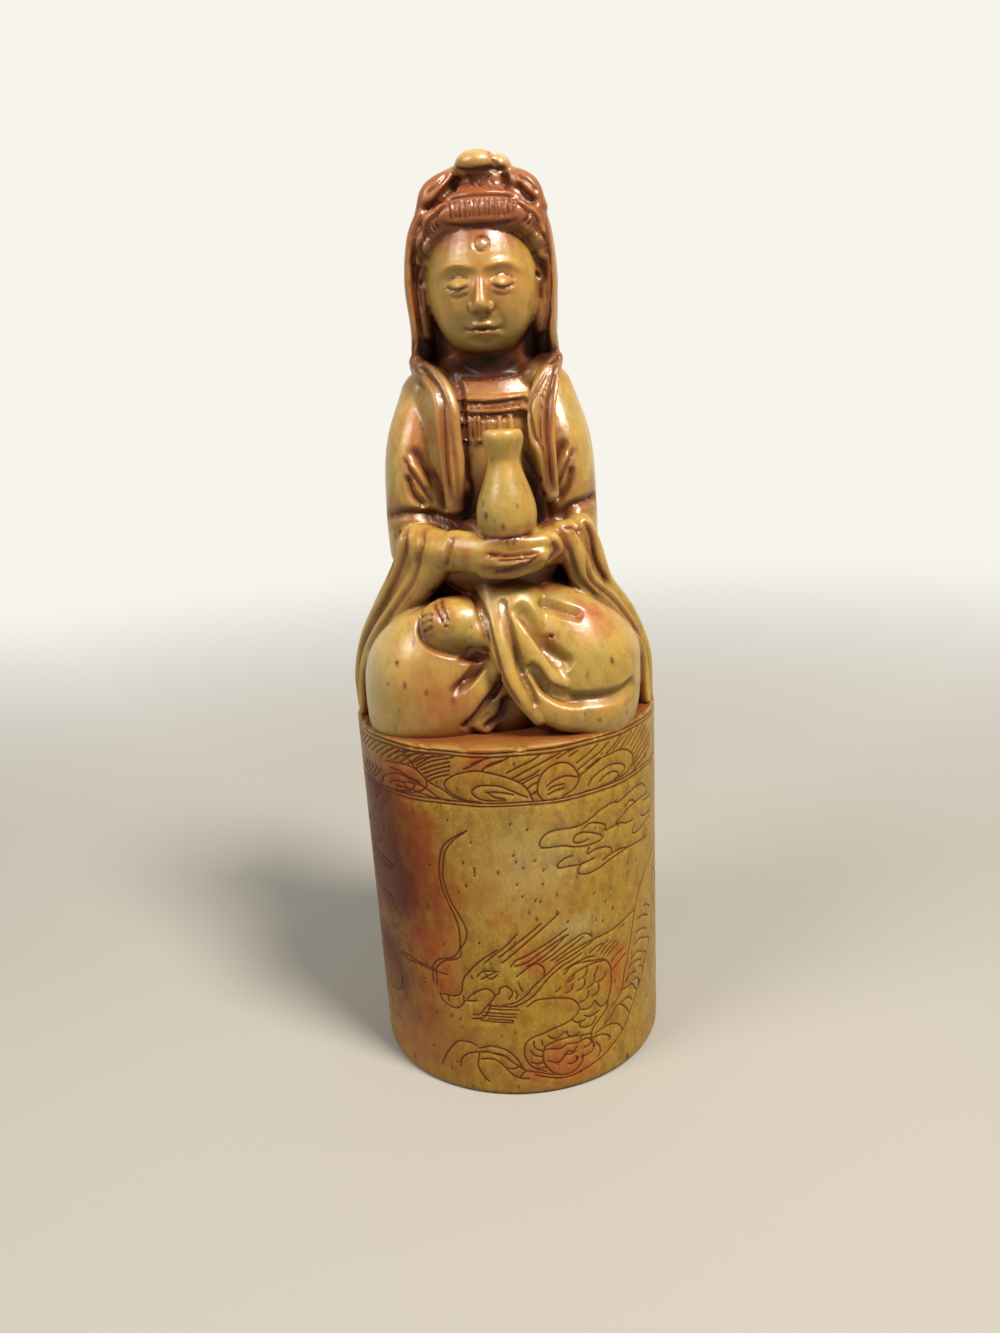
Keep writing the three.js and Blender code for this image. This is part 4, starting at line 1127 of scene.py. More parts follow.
# The neck, the cords across the chest and the tassels that hang from them.
cut([(-3.8, -6.4, 49.2), (-2.0, -6.9, 48.9), (0.9, -7.2, 48.8), (4.7, -6.2, 49.4)], 0.5, 0.4)
for low, high in ((45.5, 45.8), (44.95, 45.2), (43.9, 44.4), (43.4, 43.5)):
    cut([(-3.0, -8.7, low), (1.3, -9.4, low - 0.1), (5.7, -8.6, high)], 0.36, 0.32, dark=0.8)
for x in (-2.3, -1.9, -1.3, -0.7, -0.1, 1.9, 2.6, 3.4, 4.2):
    cut([(x, 43.3), (x - 0.1, 40.6 if x < 0 else 42.0)], 0.3, 0.3, dark=0.8)

# The folds at the elbows and over the forearms.
for side in (-1, 1):
    cut([(11.1, -8.0, 39.9), (9.5, -8.3, 38.1), (7.7, -8.4, 34.9), (6.2, -8.9, 30.8)], 1.0, 0.9, side=side)
    cut([(11.7, -8.4, 36.3), (11.0, -8.7, 33.6), (9.2, -8.5, 31.6)], 0.8, 0.8, side=side)
    cut([(12.0, -7.8, 38.6), (10.4, -8.6, 35.6), (8.2, -8.6, 32.0)], 0.45, 0.35, side=side)
    cut([(11.4, -8.2, 38.0), (10.0, -8.6, 36.2), (9.0, -8.6, 34.0)], 0.7, -0.35, side=side)
cut([(-14.9, -5.0, 30.4), (-14.1, -7.9, 30.7), (-12.4, -8.9, 31.0), (-9.2, -8.8, 30.6), (-7.1, -9.4, 29.9),
    (-4.5, -10.9, 29.0), (-2.8, -13.0, 28.6)], 1.0, 0.9, ends=0.06)
cut([(6.5, -12.7, 28.6), (9.4, -9.4, 29.7), (11.6, -8.9, 30.8), (14.2, -6.4, 31.4),
    (15.0, -4.4, 31.4)], 1.0, 0.9, ends=0.06)

# The sleeves' edges and the grooves between their folds.
cut([(-9.5, -9.9, 29.0), (-9.7, -13.4, 27.2), (-10.7, -12.8, 24.1), (-11.9, -12.3, 21.2),
    (-13.9, -11.2, 18.6), (-17.0, -9.2, 14.4), (-19.6, -7.2, 10.0)], 0.7, 0.5, dark=0.6, ends=0.05)
cut([(-5.1, -15.1, 28.3), (-5.8, -16.1, 26.2), (-6.2, -15.4, 23.7)], 0.55, 0.5, dark=0.7)
cut([(-11.9, -9.0, 29.1), (-12.4, -11.2, 26.5), (-13.4, -10.7, 23.5), (-15.9, -8.8, 18.7),
    (-18.6, -6.6, 14.2), (-20.6, -4.8, 9.6), (-21.4, -4.0, 3.0)], 0.8, 0.6, dark=0.7, ends=0.05)
cut([(-13.4, -8.3, 28.6), (-14.2, -9.0, 24.2), (-15.4, -7.8, 21.0)], 0.5, 0.5)
cut([(9.0, -13.8, 28.2), (10.6, -13.7, 25.3), (11.5, -12.7, 21.6), (12.6, -11.9, 20.0), (15.0, -10.8, 17.3),
    (18.6, -8.2, 12.8)],
    0.7, 0.5, dark=0.6, ends=0.05)
cut([(11.2, -12.2, 28.4), (12.5, -11.4, 25.6), (12.9, -11.6, 22.1), (14.0, -11.0, 19.9), (16.5, -9.2, 17.4),
    (19.2, -6.8, 13.2), (20.9, -4.9, 8.0), (21.4, -4.0, 2.6)], 0.7, 0.6, dark=0.7, ends=0.05)
cut([(12.9, -10.1, 28.7), (13.9, -9.8, 26.3), (14.3, -9.0, 22.9), (16.0, -7.4, 18.9)], 0.6, 0.6)
cut([(10.0, -13.8, 28.3), (11.5, -12.0, 27.8), (12.6, -10.7, 27.4)], 0.4, 0.3)

# The fingers lie side by side, with a nail's mark on the thumb.
cut([(-0.7, -17.8, 25.8), (2.4, -18.4, 25.7), (4.7, -18.2, 25.8), (6.6, -17.6, 25.6)], 0.42, 0.5)
cut([(6.6, -17.6, 25.5), (5.3, -18.0, 24.3), (3.0, -18.0, 23.6), (0.1, -17.3, 23.0)], 0.42, 0.4)
cut([(0.8, -18.5, 24.9), (3.1, -18.9, 24.9), (5.6, -18.3, 25.1)], 0.36, 0.35, dark=0.7)
cut([(-0.1, -17.4, 23.9), (2.1, -17.9, 24.0), (4.6, -18.2, 24.6)], 0.34, 0.3, dark=0.7)
cut([(-1.8, -15.9, 28.2), (1.1, -17.9, 27.8), (3.7, -18.0, 27.9), (6.2, -15.8, 28.2)], 0.4, 0.4)
cut([(2.4, -18.2, 27.7), (2.3, -18.0, 26.7)], 0.3, 0.25, dark=0.8)
cut([(3.3, -18.1, 27.7), (3.3, -18.0, 26.6)], 0.3, 0.25, dark=0.8)
cut([(8.5, -15.7, 26.8), (8.9, -15.3, 25.4), (7.9, -15.9, 24.0)], 0.6, 0.5)

# The foot's outline and its toes.
cut([(-10.6, -13.6, 17.6), (-10.7, -15.2, 15.2), (-9.6, -16.5, 13.4), (-7.1, -17.2, 12.5),
    (-4.2, -17.0, 12.0), (-0.7, -17.6, 12.3)],
    0.8, 0.8, dark=0.7, ends=0.05)
cut([(-2.9, -11.6, 19.6), (-2.3, -15.4, 17.9), (-1.5, -16.9, 15.8), (-0.8, -17.8, 13.0)], 0.7, 0.55, dark=0.6)
cut([(-8.5, -14.6, 19.3), (-7.9, -16.6, 18.0), (-6.9, -17.7, 16.3)], 0.4, 0.45)
cut([(-7.5, -14.2, 19.2), (-6.9, -16.4, 18.0), (-6.3, -17.5, 16.4)], 0.4, 0.45)
cut([(-6.9, -17.6, 16.2), (-6.4, -17.7, 16.0)], 0.4, 0.4)
for low in (0, 1, 2):
    cut([(-10.4 + 0.1 * low, -15.2 - 0.3 * low, 17.0 - 1.05 * low),
        (-8.5, -16.9 - 0.15 * low, 17.9 - 0.95 * low)], 0.34, 0.4)
cut([(-8.9, -14.2, 19.5), (-7.4, -12.0, 19.9), (-5.5, -11.4, 20.1), (-3.4, -11.3, 19.9)], 0.6, 0.5)

# The folds of the lap: the band's two edges, the sweep across the thigh, the hem's upper edge,
# and the deep gouges between the wedge-shaped ends of cloth.
cut([(-2.6, -11.6, 19.7), (-1.4, -16.0, 17.4), (-0.6, -17.7, 15.0), (0.3, -18.8, 11.8), (1.4, -19.4, 8.2),
    (3.2, -19.4, 5.0)],
    0.6, 0.55, dark=0.6, ends=0.04)
cut([(1.4, -15.2, 18.9), (1.9, -17.1, 15.9), (2.8, -18.2, 12.5), (3.6, -18.9, 9.4), (4.6, -19.3, 7.0),
    (5.2, -19.6, 4.6)],
    0.8, 0.5, dark=0.5, ends=0.04)
cut([(3.0, -16.0, 18.2), (4.8, -17.1, 16.2), (6.7, -17.6, 13.5), (8.3, -18.2, 11.3),
    (10.4, -18.6, 9.8)], 1.8, 1.1, "u", 0.35)
cut([(5.6, -14.2, 18.2), (8.7, -15.1, 17.3), (12.2, -15.2, 16.0)], 1.3, 0.8, dark=0.3)
cut([(7.3, -17.4, 14.3), (7.7, -17.6, 13.8)], 0.6, 0.6)
cut([(4.3, -19.0, 10.6), (5.4, -19.4, 9.4), (6.8, -19.5, 7.4), (8.5, -19.6, 6.1), (10.2, -19.5, 5.5),
    (14.6, -18.5, 5.1), (17.6, -16.3, 5.2), (19.6, -13.4, 6.0)], 1.6, 1.1, "u", 0.3, ends=0.06)
cut([(4.3, -19.0, 10.4), (5.6, -19.5, 8.8), (7.4, -19.6, 6.5), (10.2, -19.5, 5.2), (14.6, -18.5, 4.7),
    (17.6, -16.3, 4.9)],
    0.5, 0.3, dark=0.5)
cut([(-6.6, -18.2, 6.4), (-4.6, -18.0, 7.8), (-2.9, -16.8, 9.6), (-1.2, -15.8, 11.0)], 1.1, 1.3, ends=0.25)
cut([(-5.4, -17.0, 11.6), (-3.0, -16.4, 11.2), (-0.7, -17.0, 11.4)], 1.0, 0.9)
cut([(0.4, -18.8, 9.6), (0.0, -17.3, 6.9), (-1.2, -17.9, 4.8), (-3.2, -18.0, 2.7),
    (-5.2, -17.8, 0.9)], 0.8, 1.0, ends=0.04)
cut([(2.0, -18.6, 5.9), (-0.0, -16.1, 3.0), (-2.4, -17.4, 0.9)], 0.8, 0.8)
for strand in (0.0, 0.7, 1.4):
    cut([(-1.4 + strand * 0.6, -17.2, 3.4 - strand),
        (-3.0 + strand * 0.6, -17.6, 1.9 - strand)], 0.3, 0.2, dark=0.5)

# The lines of the lids and the mouth, and the ring on the forehead.
for side in (-1, 1):
    x = 0.3
    cut([(x + side * 1.5, 60.75), (x + side * 2.3, 60.35), (x + side * 3.4, 60.2),
        (x + side * 4.7, 60.8)], 0.34, 0.34)
    cut([(x + side * 1.4, 61.3), (x + side * 2.3, 61.95), (x + side * 3.4, 62.0),
        (x + side * 4.8, 61.3)], 0.30, 0.24, dark=0.6)
    cut([(x + side * 1.6, 59.7), (x + side * 3.0, 59.3), (x + side * 4.2, 59.6)], 0.36, 0.16, dark=0.3)
    cut([(x + side * 0.5, 57.2), (x + side * 1.0, 57.15)], 0.34, 0.35)
    cut([(x + side * 1.85, 58.3), (x + side * 1.9, 57.6), (x + side * 1.5, 57.2)], 0.32, 0.28, dark=0.6)
cut([(-2.3, 55.25), (-1.2, 55.05), (-0.4, 55.2), (0.3, 55.1), (1.0, 55.2), (1.8, 55.05),
    (2.9, 55.25)], 0.34, 0.38)
circle = np.linspace(0, 2 * math.pi, 13)
circle = [(0.7 + 0.9 * math.cos(turn), 65.9 + 0.9 * math.sin(turn)) for turn in circle]
cut(circle, 0.32, 0.30, dark=0.6, ends=0.0)


# ---- The figure as one stone ---------------------------------------------------------------
# The forms are joined to one skin of even facets, eased as by rubbing, then cut with the strokes
# and thinned where the surface is plain.
facet = 0.26
bpy.ops.object.select_all(action="DESELECT")
for form in forms:
    form.select_set(True)
bpy.context.view_layer.objects.active = forms[0]
bpy.ops.object.join()
figure = bpy.context.object
figure.name = "seal_figure"
figure.data.name = "seal_figure"
fusing = figure.modifiers.new("one stone", "REMESH")
fusing.mode = "VOXEL"
fusing.voxel_size = facet * MM
bpy.ops.object.modifier_apply(modifier=fusing.name)
easing = figure.modifiers.new("rubbed", "SMOOTH")
easing.factor = 0.5
easing.iterations = 3
bpy.ops.object.modifier_apply(modifier=easing.name)


def looked_up(piece):
    corners = [vertex.co / MM for vertex in piece.data.vertices]
    return BVHTree.FromPolygons(corners, [polygon.vertices for polygon in piece.data.polygons])


place = corners_of(figure)
front = (place[:, 1] < -6.5) & (normals_of(figure)[:, 1] < -0.1)
raised = np.zeros(len(place))
for x, z, across, up, height, tilt in swellings:
    along = place[:, 0] - head[0] - x
    above = place[:, 2] - block_height - head[2] - z
    u = (along * math.cos(tilt) + above * math.sin(tilt)) / across
    v = (above * math.cos(tilt) - along * math.sin(tilt)) / up
    raised += height * np.exp(-(u**2) - v**2)
place[:, 1] -= raised * front
put_corners(figure, place)
stone = looked_up(figure)


def on_stone(x, y, z):
    """The place on the figure's skin that a stroke's point stands for."""
    z += block_height
    if y is None:
        hit = stone.ray_cast(Vector((x, -60, z)), Vector((0, 1, 0)))[0]
        return hit if hit is not None else stone.find_nearest(Vector((x, -20, z)))[0]
    return stone.find_nearest(Vector((x, y, z)))[0]


place = corners_of(figure)
towards = normals_of(figure)
sink = np.zeros(len(place))
figure_line = np.zeros(len(place))
for stroke in cuts:
    path = np.array([on_stone(*row) for row in stroke["rows"]])
    if len(path) > 2:
        path = smooth_path(path, (len(path) - 1) * 5 + 1)
        path = np.array([stone.find_nearest(Vector(p))[0] for p in path])
    width = stroke["width"]
    near, gap, along = nearness(place, path, width)
    fade = np.clip(np.minimum(along, 1 - along) / max(stroke["ends"], 1e-3), 0, 1) ** 0.7
    share = np.clip(1 - gap / width, 0, 1)
    if stroke["shape"] == "u":
        share = 0.5 - 0.5 * np.cos(math.pi * share)
    share *= fade
    if stroke["depth"] > 0:
        sink[near] = np.maximum(sink[near], stroke["depth"] * share)
        figure_line[near] = np.maximum(figure_line[near], stroke["dark"] * share)
    else:
        sink[near] += stroke["depth"] * share
place -= towards * sink[:, None]
put_corners(figure, place)
figure_line = thinned(figure, figure_line)


# ---- Where handling and dirt have changed the stone, with painted shade and highlight ------
# Wax and dirt have stayed in the hollows and browned them, and the hollows are also painted near
# black as shade; the standing edges are rubbed pale and painted with highlight. All follow from
# how much stone lies round each place.
cell = 0.6
grid_low = np.array((-25.0, -25.0, 44.0))
grid_size = np.ceil(np.array((50.0, 50.0, 94.0)) / cell).astype(int)
filled = np.zeros(grid_size, np.float32)
stone = looked_up(figure)
heights = grid_low[2] + (np.arange(grid_size[2]) + 0.5) * cell
for i in range(grid_size[0]):
    for j in range(grid_size[1]):
        x, y = grid_low[:2] + (np.array((i, j)) + 0.5) * cell
        crossings = []
        start = Vector((x, y, 160.0))
        while len(crossings) < 24:
            hit = stone.ray_cast(start, Vector((0, 0, -1)))[0]
            if hit is None:
                break
            crossings.append(hit.z)
            start = Vector((x, y, hit.z - 1e-3))
        for top, bottom in zip(crossings[::2], crossings[1::2]):
            filled[i, j, (heights < top) & (heights > bottom)] = 1
        if math.hypot(x, y) < shoulder_radius:
            filled[i, j, heights < block_height] = 1


def spread(field, radius):
    """Averages a grid over a ball of about this radius, by three passes along each axis."""
    reach = max(1, round(radius / cell / 1.7))
    for _ in range(3):
        for axis in range(3):
            margin = [(reach + 1, reach) if n == axis else (0, 0) for n in range(3)]
            padded = np.cumsum(np.pad(field, margin), axis)
            length = field.shape[axis]
            high = np.take(padded, np.arange(2 * reach + 1, 2 * reach + 1 + length), axis)
            low = np.take(padded, np.arange(length), axis)
            field = (high - low) / (2 * reach + 1)
    return field


def sampled(field, points):
    """Reads a grid at points, between its cells."""
    at = (points - grid_low) / cell - 0.5
    base = np.clip(np.floor(at).astype(int), 0, np.array(field.shape) - 2)
    share = np.clip(at - base, 0, 1)
    total = np.zeros(len(points))
    for corner in range(8):
        bits = np.array([(corner >> n) & 1 for n in range(3)])
        weight = np.prod(np.where(bits, share, 1 - share), axis=1)
        total += weight * field[tuple((base + bits).T)]
    return total


close_by = spread(filled, 1.2)
further = spread(filled, 3.6)
clean_below = 46.0  # the block's side has no dirt


def write(piece, name, values):
    layer = piece.data.attributes.new(name, "FLOAT", "POINT")
    layer.data.foreach_set("value", np.asarray(values, np.float32))


# Painted shade with the dirt there, nearly black where shadow falls deepest: under the chin, beside
# the neck and the vase, under the hands, and between the knees. Place above the block, reach and strength.
shade_and_soot = (
    ((0.3, -5.5, 50.6), (8.0, 4.0, 2.0), 1.15),
    ((-7.2, -4, 52.6), (2.4, 3.4, 3.6), 1.15),
    ((7.6, -4, 52.2), (2.4, 3.4, 3.6), 1.15),
    ((-3.2, -9, 31.0), (3.6, 3, 3.4), 0.8),
    ((7.2, -9.5, 31.4), (2.4, 3, 4.0), 0.7),
    ((-3.0, -8.6, 37.0), (1.6, 2, 6.0), 0.45),
    ((-6.5, -11.5, 20.6), (2.6, 3, 1.4), 0.5),
    ((8.0, -11.5, 21.6), (2.6, 3, 1.6), 0.5),
    ((0.4, -12.0, 21.2), (7.0, 2.5, 1.0), 0.5),
    ((0.6, -15.0, 4.4), (1.6, 3, 3.4), 0.6),
    ((-2.4, -2.5, 72.6), (1.4, 3, 1.2), 0.8),
)
for piece, lines in ((figure, 0.7 * figure_line), (block, block_line)):
    place = corners_of(piece)
    towards = normals_of(piece)
    inner = sampled(close_by, place + towards * 0.4)
    outer = sampled(further, place + towards * 1.0)
    wide = sampled(further, place + towards * 2.6)
    low = place[:, 2] < clean_below
    warm = np.maximum((outer - 0.38) / 0.32, (wide - 0.23) / 0.36)
    face = np.exp(-(((place - (0.3, -10, 115)) / (8, 6, 9)) ** 2).sum(1) ** 2)
    # Painted shade with dirt: the hollows darken the more closely stone surrounds them.
    dirt_and_shade = 0.72 * np.clip(np.maximum((inner - 0.50) / 0.40, (outer - 0.58) / 0.26), 0, 1)
    if piece is block:
        # The block's top is painted darker as shade, and browner.
        ledge = place[:, 2] > 55.2
        dirt_and_shade = np.maximum(0.6 * dirt_and_shade, np.where(ledge, 0.24, 0))
        warm *= np.where(ledge, 1.5, 0.6)
    else:
        # The hair and the hood are browner than the rest, and the knob of the knot is not.
        crown = np.exp(-(((place - (0, -6, 127.4)) / (14, 12, 5.8)) ** 2).sum(1) ** 2)
        crown *= 1 - np.exp(-(((place - (1.2, -4.4, 132.6)) / (4.4, 3.4, 2.2)) ** 2).sum(1) ** 2)
        # The wax has browned the stone beside each stroke too.
        one, other = edges_of(piece)
        beside = np.clip(1.7 * lines, 0, 1)
        for _ in range(4):
            wider = beside.copy()
            np.maximum.at(wider, one, 0.88 * beside[other])
            np.maximum.at(wider, other, 0.88 * beside[one])
            beside = wider
        warm = np.maximum(np.maximum(warm, 1.05 * crown), 0.75 * beside * (1 - 0.75 * face))
        for centre, reach, strength in shade_and_soot:
            gap = (place - centre - (0, 0, block_height)) / reach
            dirt_and_shade = np.maximum(dirt_and_shade, strength * np.exp(-(gap**2).sum(1)))
    write(piece, "warm", np.where(low, 0, np.clip(warm, 0, 1)))
    write(piece, "dirt_and_shade", np.where(low, 0, dirt_and_shade))
    # How coarse the stone looks: the block is spotted most and the face least.
    write(piece, "coarse", np.full(len(place), 1.0) if piece is block else 0.55 * (1 - face))
    # The shine is dulled with the dirt and painted shade in the hollows.
    dulled = np.where(low, 0, np.clip(0.8 * dirt_and_shade + 0.25 * np.clip(warm, 0, 1), 0, 0.9))
    write(piece, "shine", (0.12 if piece is block else 0.45) * (1 - dulled))
    # Standing edges, rubbed pale and painted with highlight.
    write(piece, "edge", np.where(low, 0, np.clip((0.24 - inner) / 0.12, 0, 1)))
    write(piece, "line", lines)


# ---- The stone -----------------------------------------------------------------------------
# Polished and waxed soapstone: it is a soft, dense, slightly clear stone, so light goes a
# millimetre or so into it and its shine is soft. It is clouded from olive yellow to red brown.
# Each stain has a middle, in millimetres from the middle of the seal face, a reach each way and a strength.
stains = {kind: [] for kind in ("red", "dark", "pale", "tawny")}


def stain(kind, centre, reach, strength=1.0):
    stains[kind].append((np.array(centre, float), np.array(reach, float), strength))


def stain_side(kind, s, z, reach, strength=1.0):
    """A stain on the block's side, s millimetres round from the front."""
    across, up = reach
    turn = s / side_radius
    centre = (side_radius * math.sin(turn), -side_radius * math.cos(turn), z)
    stain(kind, centre, (across, across, up), strength)


def stain_figure(kind, x, y, z, reach, strength=1.0):
    stain(kind, (x, y, z + block_height), np.broadcast_to(reach, 3), strength)


stain("tawny", (0, -20, 55.6), (26, 8, 1.5), 0.5)
stain_side("dark", -23, 35, (10, 14), 1.3)
stain_side("dark", -24, 19, (9.5, 11), 1.0)
stain_side("dark", -24, 45, (8, 7), 1.1)
stain_side("red", -15, 37, (5.5, 12), 0.9)
stain_side("red", -14, 22, (6, 9), 0.8)
stain_side("red", -15, 50, (6, 3.5), 0.8)
stain_side("red", -2.5, 54, (2.2, 1.6), 0.8)
stain_side("red", -1, 27, (3.5, 4), 0.32)
stain_side("red", 17.5, 18, (2.8, 5), 0.6)
stain_side("red", 9, 5, (6, 4), 0.4)
stain_side("red", -3, 17, (3.5, 4), 0.5)
stain_side("red", 3, 23, (4, 3), 0.3)
stain_side("tawny", -13, 8, (8, 8), 0.8)
stain_side("tawny", -9, 28, (3, 12), 0.6)
stain_side("tawny", 2, 4, (8, 4), 0.6)
stain_side("tawny", -9, 52, (15, 5), 0.5)
stain_side("tawny", -19, 6, (8, 7), 0.9)
stain_side("pale", 3, 38, (8, 8), 0.35)
stain_side("pale", 10, 27, (4, 2), 0.4)
stain_side("pale", -24, 52, (3, 3), 0.4)
stain_figure("red", -6.5, -17, 3.6, (4, 5, 4), 0.6)
stain_figure("tawny", -9, -16, 7, (5, 6, 5), 0.8)
stain_figure("red", 12.5, -14, 15.8, (3.2, 4, 2.8), 0.8)
stain_figure("red", -9.4, -8, 43, (2.6, 4, 7), 0.5)
stain_figure("red", 10, -9, 42, (2, 3, 7), 0.3)
stain_figure("red", -3.4, -17, 26, (1.0, 4, 1.8), 1.0)
stain_figure("red", 9.6, -13, 24, (2, 3, 3), 0.6)
stain_figure("tawny", 0.5, -8, 47, (7, 6, 5), 0.9)
stain_figure("tawny", 0, -6, 70, (11, 9, 5.5), 1.5)
stain_figure("tawny", -6, -3, 73.4, (3.4, 4, 3), 1.4)
stain_figure("pale", 0.2, -4.4, 77.0, (3.0, 3.5, 2.2), 0.8)
stain_figure("tawny", -9.8, -3, 61, (2.2, 4, 12), 1.5)
stain_figure("tawny", 9.6, -3, 60, (2, 4, 10), 0.8)
stain_figure("tawny", -5.5, -10, 42, (2.5, 4, 9), 0.9)
stain_figure("tawny", 8, -10, 40, (2, 4, 9), 0.5)
stain_figure("tawny", 0.3, -9, 61, (8, 6, 11), 0.5)
stain_figure("red", 2.3, -11, 58.5, (5, 4, 5.5), 0.4)
stain_figure("pale", -19, -11, 8, (5, 6, 8), 1.0)
stain_figure("pale", -15.5, 0, 34, (4, 8, 12), 0.6)
stain_figure("pale", 15.5, -1, 38, (3, 8, 10), 0.5)
stain_figure("pale", 3.8, -4, 76, (1.8, 3, 2), 1.0)
stain_figure("tawny", 0, 12, 20, (16, 8, 16), 0.5)
# Short dark flaws in the knees and the vase.
flaws = [(-15.5, 8), (-14, 11), (-13, 8), (-18, 10.5), (-10, 7), (-6.5, 5.5), (-5.5, 7.5), (-11.5, 13.5)]
flaws += [(12.5, 8.5), (14, 2), (18, 2), (16, 10), (4, 32), (2, 29.5)]
for n, (x, z) in enumerate(flaws):
    stain_figure("dark", x, -17, z, (0.27, 4, 0.34 + 0.12 * (n % 3)), 1.0 + 0.2 * (n % 2))
stain_figure("red", 6, 13, 30, (6, 5, 9), 0.4)

for piece in (block, figure):
    place = corners_of(piece)
    for kind, spots in stains.items():
        amount = np.zeros(len(place))
        for centre, reach, strength in spots:
            amount = np.maximum(amount, strength * np.exp(-(((place - centre) / reach) ** 2).sum(1)))
        write(piece, kind, amount)


# Coats of colour, each over the last: what a coat follows, from where to where, how much of it there
# is at most, what holds it back, and its colour.
stone_colour = "#8f7b3a"
coats = (
    ("clouds", 0.38, 0.62, 1.0, None, "#a8883e"),
    ("veils", 0.58, 0.75, 0.5, None, "#99652e"),
    ("coarse", 0.4, 1.0, 0.66, None, "#7a5a0f"),
    ("mottle", 0.45, 0.66, 0.65, "coarse", "#654616"),
    ("grain", 0.50, 0.72, 0.3, "coarse", "#b99a42"),
    ("blots", 0.0, 1.0, 0.5, "coarse", "#7b4d16"),
    ("pale", 0.0, 1.0, 0.7, None, "#a89c74"),
    ("tawny", 0.0, 1.25, 1.0, None, "#7f4520"),
    ("red", 0.0, 1.0, 1.0, None, "#8a421a"),
    ("dark", 0.0, 1.0, 1.0, None, "#4c1d0a"),
    ("specks", 0.0, 1.0, 0.9, "spotted", "#3a1c12"),
    ("fine specks", 0.0, 1.0, 0.85, "coarse", "#4a2812"),
    # Wax and dirt: a warm brown round the hollows, and painted shade with dirt, nearly black, at the bottom
    # of them.
    ("warm", 0.05, 0.85, 0.9, None, "#743d1c"),
    ("dirt_and_shade", 0.0, 0.45, 0.85, None, "#4c2415"),
    ("dirt_and_shade", 0.35, 0.9, 0.95, None, "#24120d"),
    ("line", 0.0, 1.0, 1.0, None, "#45170a"),
    # The standing edges, rubbed pale and lightened as painted highlight.
    ("edge", 0.0, 1.0, 0.3, None, "#c09a58"),
)


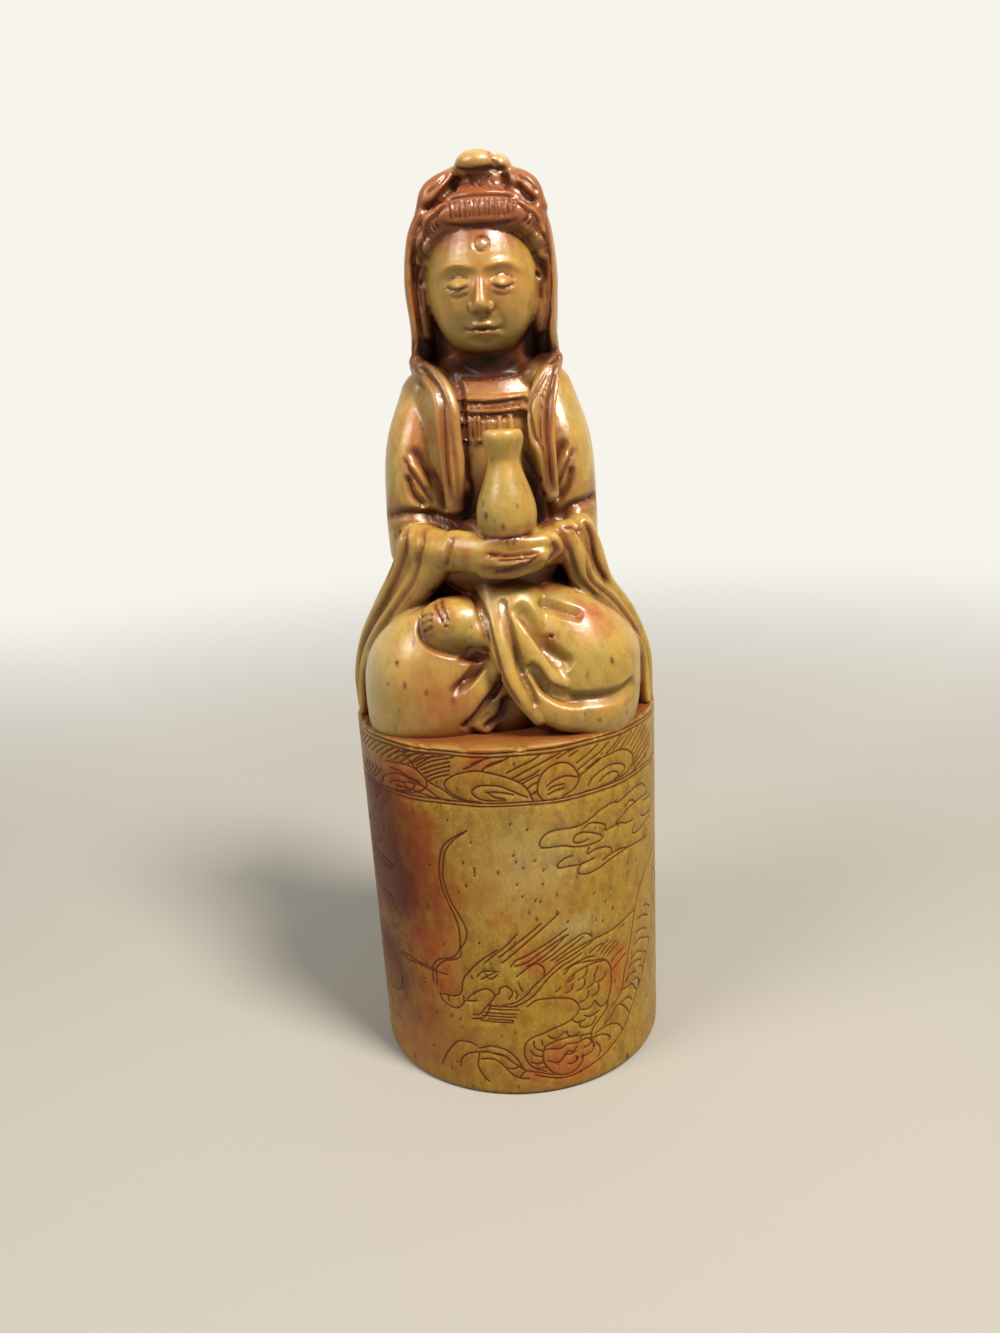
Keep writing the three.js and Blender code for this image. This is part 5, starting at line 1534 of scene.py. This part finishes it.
def soapstone():
    material, tree = new_material("polished soapstone")
    where = add(tree, "ShaderNodeTexCoord").outputs["Object"]
    drawn_up = add(tree, "ShaderNodeMapping", Vector=where, Scale=(1, 1, 0.6)).outputs[0]
    at = {}
    for name in ("warm", "dirt_and_shade", "coarse", "shine", "edge", "line", "red", "dark", "pale", "tawny"):
        at[name] = add(tree, "ShaderNodeAttribute", {"attribute_name": name}).outputs["Fac"]
    for name, vector, scale, detail, rough in (
        ("veils", where, 55, 2, 0.55),
        ("clouds", where, 120, 4, 0.55),  # 8 mm across
        ("drifts", where, 160, 2, 0.55),
        ("groups", where, 200, 2, 0.55),
        ("mottle", drawn_up, 600, 3, 0.6),  # 2 mm, drawn up the stone
        ("polish", where, 900, 3, 0.55),
        ("touch", where, 1400, 2, 0.55),
        ("grain", drawn_up, 2600, 2, 0.6),  # 0.4 mm
    ):
        noise = add(tree, "ShaderNodeTexNoise", Vector=vector, Scale=scale, Detail=detail, Roughness=rough)
        at[name] = noise.outputs["Fac"]

    # A stain's edge is broken up by the clouds and the mottle.
    multiply_add = {"operation": "MULTIPLY_ADD"}
    ragged = add(tree, "ShaderNodeMath", multiply_add, _0=at["mottle"], _1=0.7, _2=at["clouds"]).outputs[0]
    at["blots"] = add(tree, "ShaderNodeMapRange", _0=at["clouds"], _1=0.5, _2=0.7).outputs[0]
    for name, by in (("blots", 0.9), ("red", 0.9), ("dark", 0.6)):
        shift = add(tree, "ShaderNodeMapRange", _0=ragged, _1=0.45, _2=1.25, _3=-by / 2, _4=by / 2).outputs[0]
        near = add(tree, "ShaderNodeMapRange", _0=at[name], _1=0.02, _2=0.25).outputs[0]
        moved = add(tree, "ShaderNodeMath", multiply_add, _0=shift, _1=near, _2=at[name]).outputs[0]
        at[name] = add(tree, "ShaderNodeMapRange", _0=moved, _1=0.1, _2=0.95).outputs[0]

    # Specks of iron ore, a quarter to half a millimetre across, in groups.
    multiply = {"operation": "MULTIPLY", "use_clamp": True}
    for name, scale, *limits in (
        ("specks", 420, ("size", 0.20, 0.12), ("choice", 0.80, 0.86), ("groups", 0.42, 0.58)),
        ("fine specks", 1000, ("size", 0.30, 0.16), ("choice", 0.80, 0.84), ("drifts", 0.45, 0.60)),
    ):
        cells = add(tree, "ShaderNodeTexVoronoi", Vector=drawn_up, Scale=scale)
        at["size"] = cells.outputs["Distance"]
        at["choice"] = add(tree, "ShaderNodeSeparateColor", _0=cells.outputs["Color"]).outputs[0]
        at[name] = 1.0
        for limit, low, high in limits:
            share = add(tree, "ShaderNodeMapRange", _0=at[limit], _1=low, _2=high).outputs[0]
            at[name] = add(tree, "ShaderNodeMath", multiply, _0=share, _1=at[name]).outputs[0]
    at["spotted"] = add(tree, "ShaderNodeMapRange", _0=at["coarse"], _1=0.1, _2=0.4).outputs[0]

    smudge = add(tree, "ShaderNodeMath", multiply_add, _0=at["mottle"], _1=0.5, _2=-0.25).outputs[0]
    smudge = add(tree, "ShaderNodeMath", multiply, _0=smudge, _1=at["warm"]).outputs[0]
    plus = {"operation": "ADD", "use_clamp": True}
    at["warm"] = add(tree, "ShaderNodeMath", plus, _0=at["warm"], _1=smudge).outputs[0]
    base = linear(stone_colour)
    for follows, low, high, most, held, colour in coats:
        share = add(tree, "ShaderNodeMapRange", _0=at[follows], _1=low, _2=high, _4=most).outputs[0]
        if held:
            share = add(tree, "ShaderNodeMath", multiply, _0=share, _1=at[held]).outputs[0]
        coat = add(tree, "ShaderNodeMix", {"data_type": "RGBA"}, _0=share, _6=base, _7=linear(colour))
        base = coat.outputs[2]

    rough = add(tree, "ShaderNodeMapRange", _0=at["polish"], _1=0.3, _2=0.7, _3=0.27, _4=0.44).outputs[0]
    bump = add(tree, "ShaderNodeBump", Strength=0.15, Distance=0.0002, Height=at["touch"]).outputs[0]
    surface = add(
        tree,
        "ShaderNodeBsdfPrincipled",
        Base_Color=base,
        Roughness=rough,
        IOR=1.57,
        Specular_IOR_Level=at["shine"],
        Subsurface_Weight=0.3,
        Subsurface_Radius=(1.0, 0.5, 0.2),
        Subsurface_Scale=0.0012,
        Normal=bump,
    )
    add(tree, "ShaderNodeOutputMaterial", Surface=surface.outputs[0])
    return material


stone_finish = soapstone()
for piece in (block, figure):
    piece.data.materials.clear()
    piece.data.materials.append(stone_finish)
    bpy.ops.object.select_all(action="DESELECT")
    piece.select_set(True)
    bpy.context.view_layer.objects.active = piece
    bpy.ops.object.shade_smooth_by_angle(angle=math.radians(50))
    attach(piece, "root")
    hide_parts("seal")
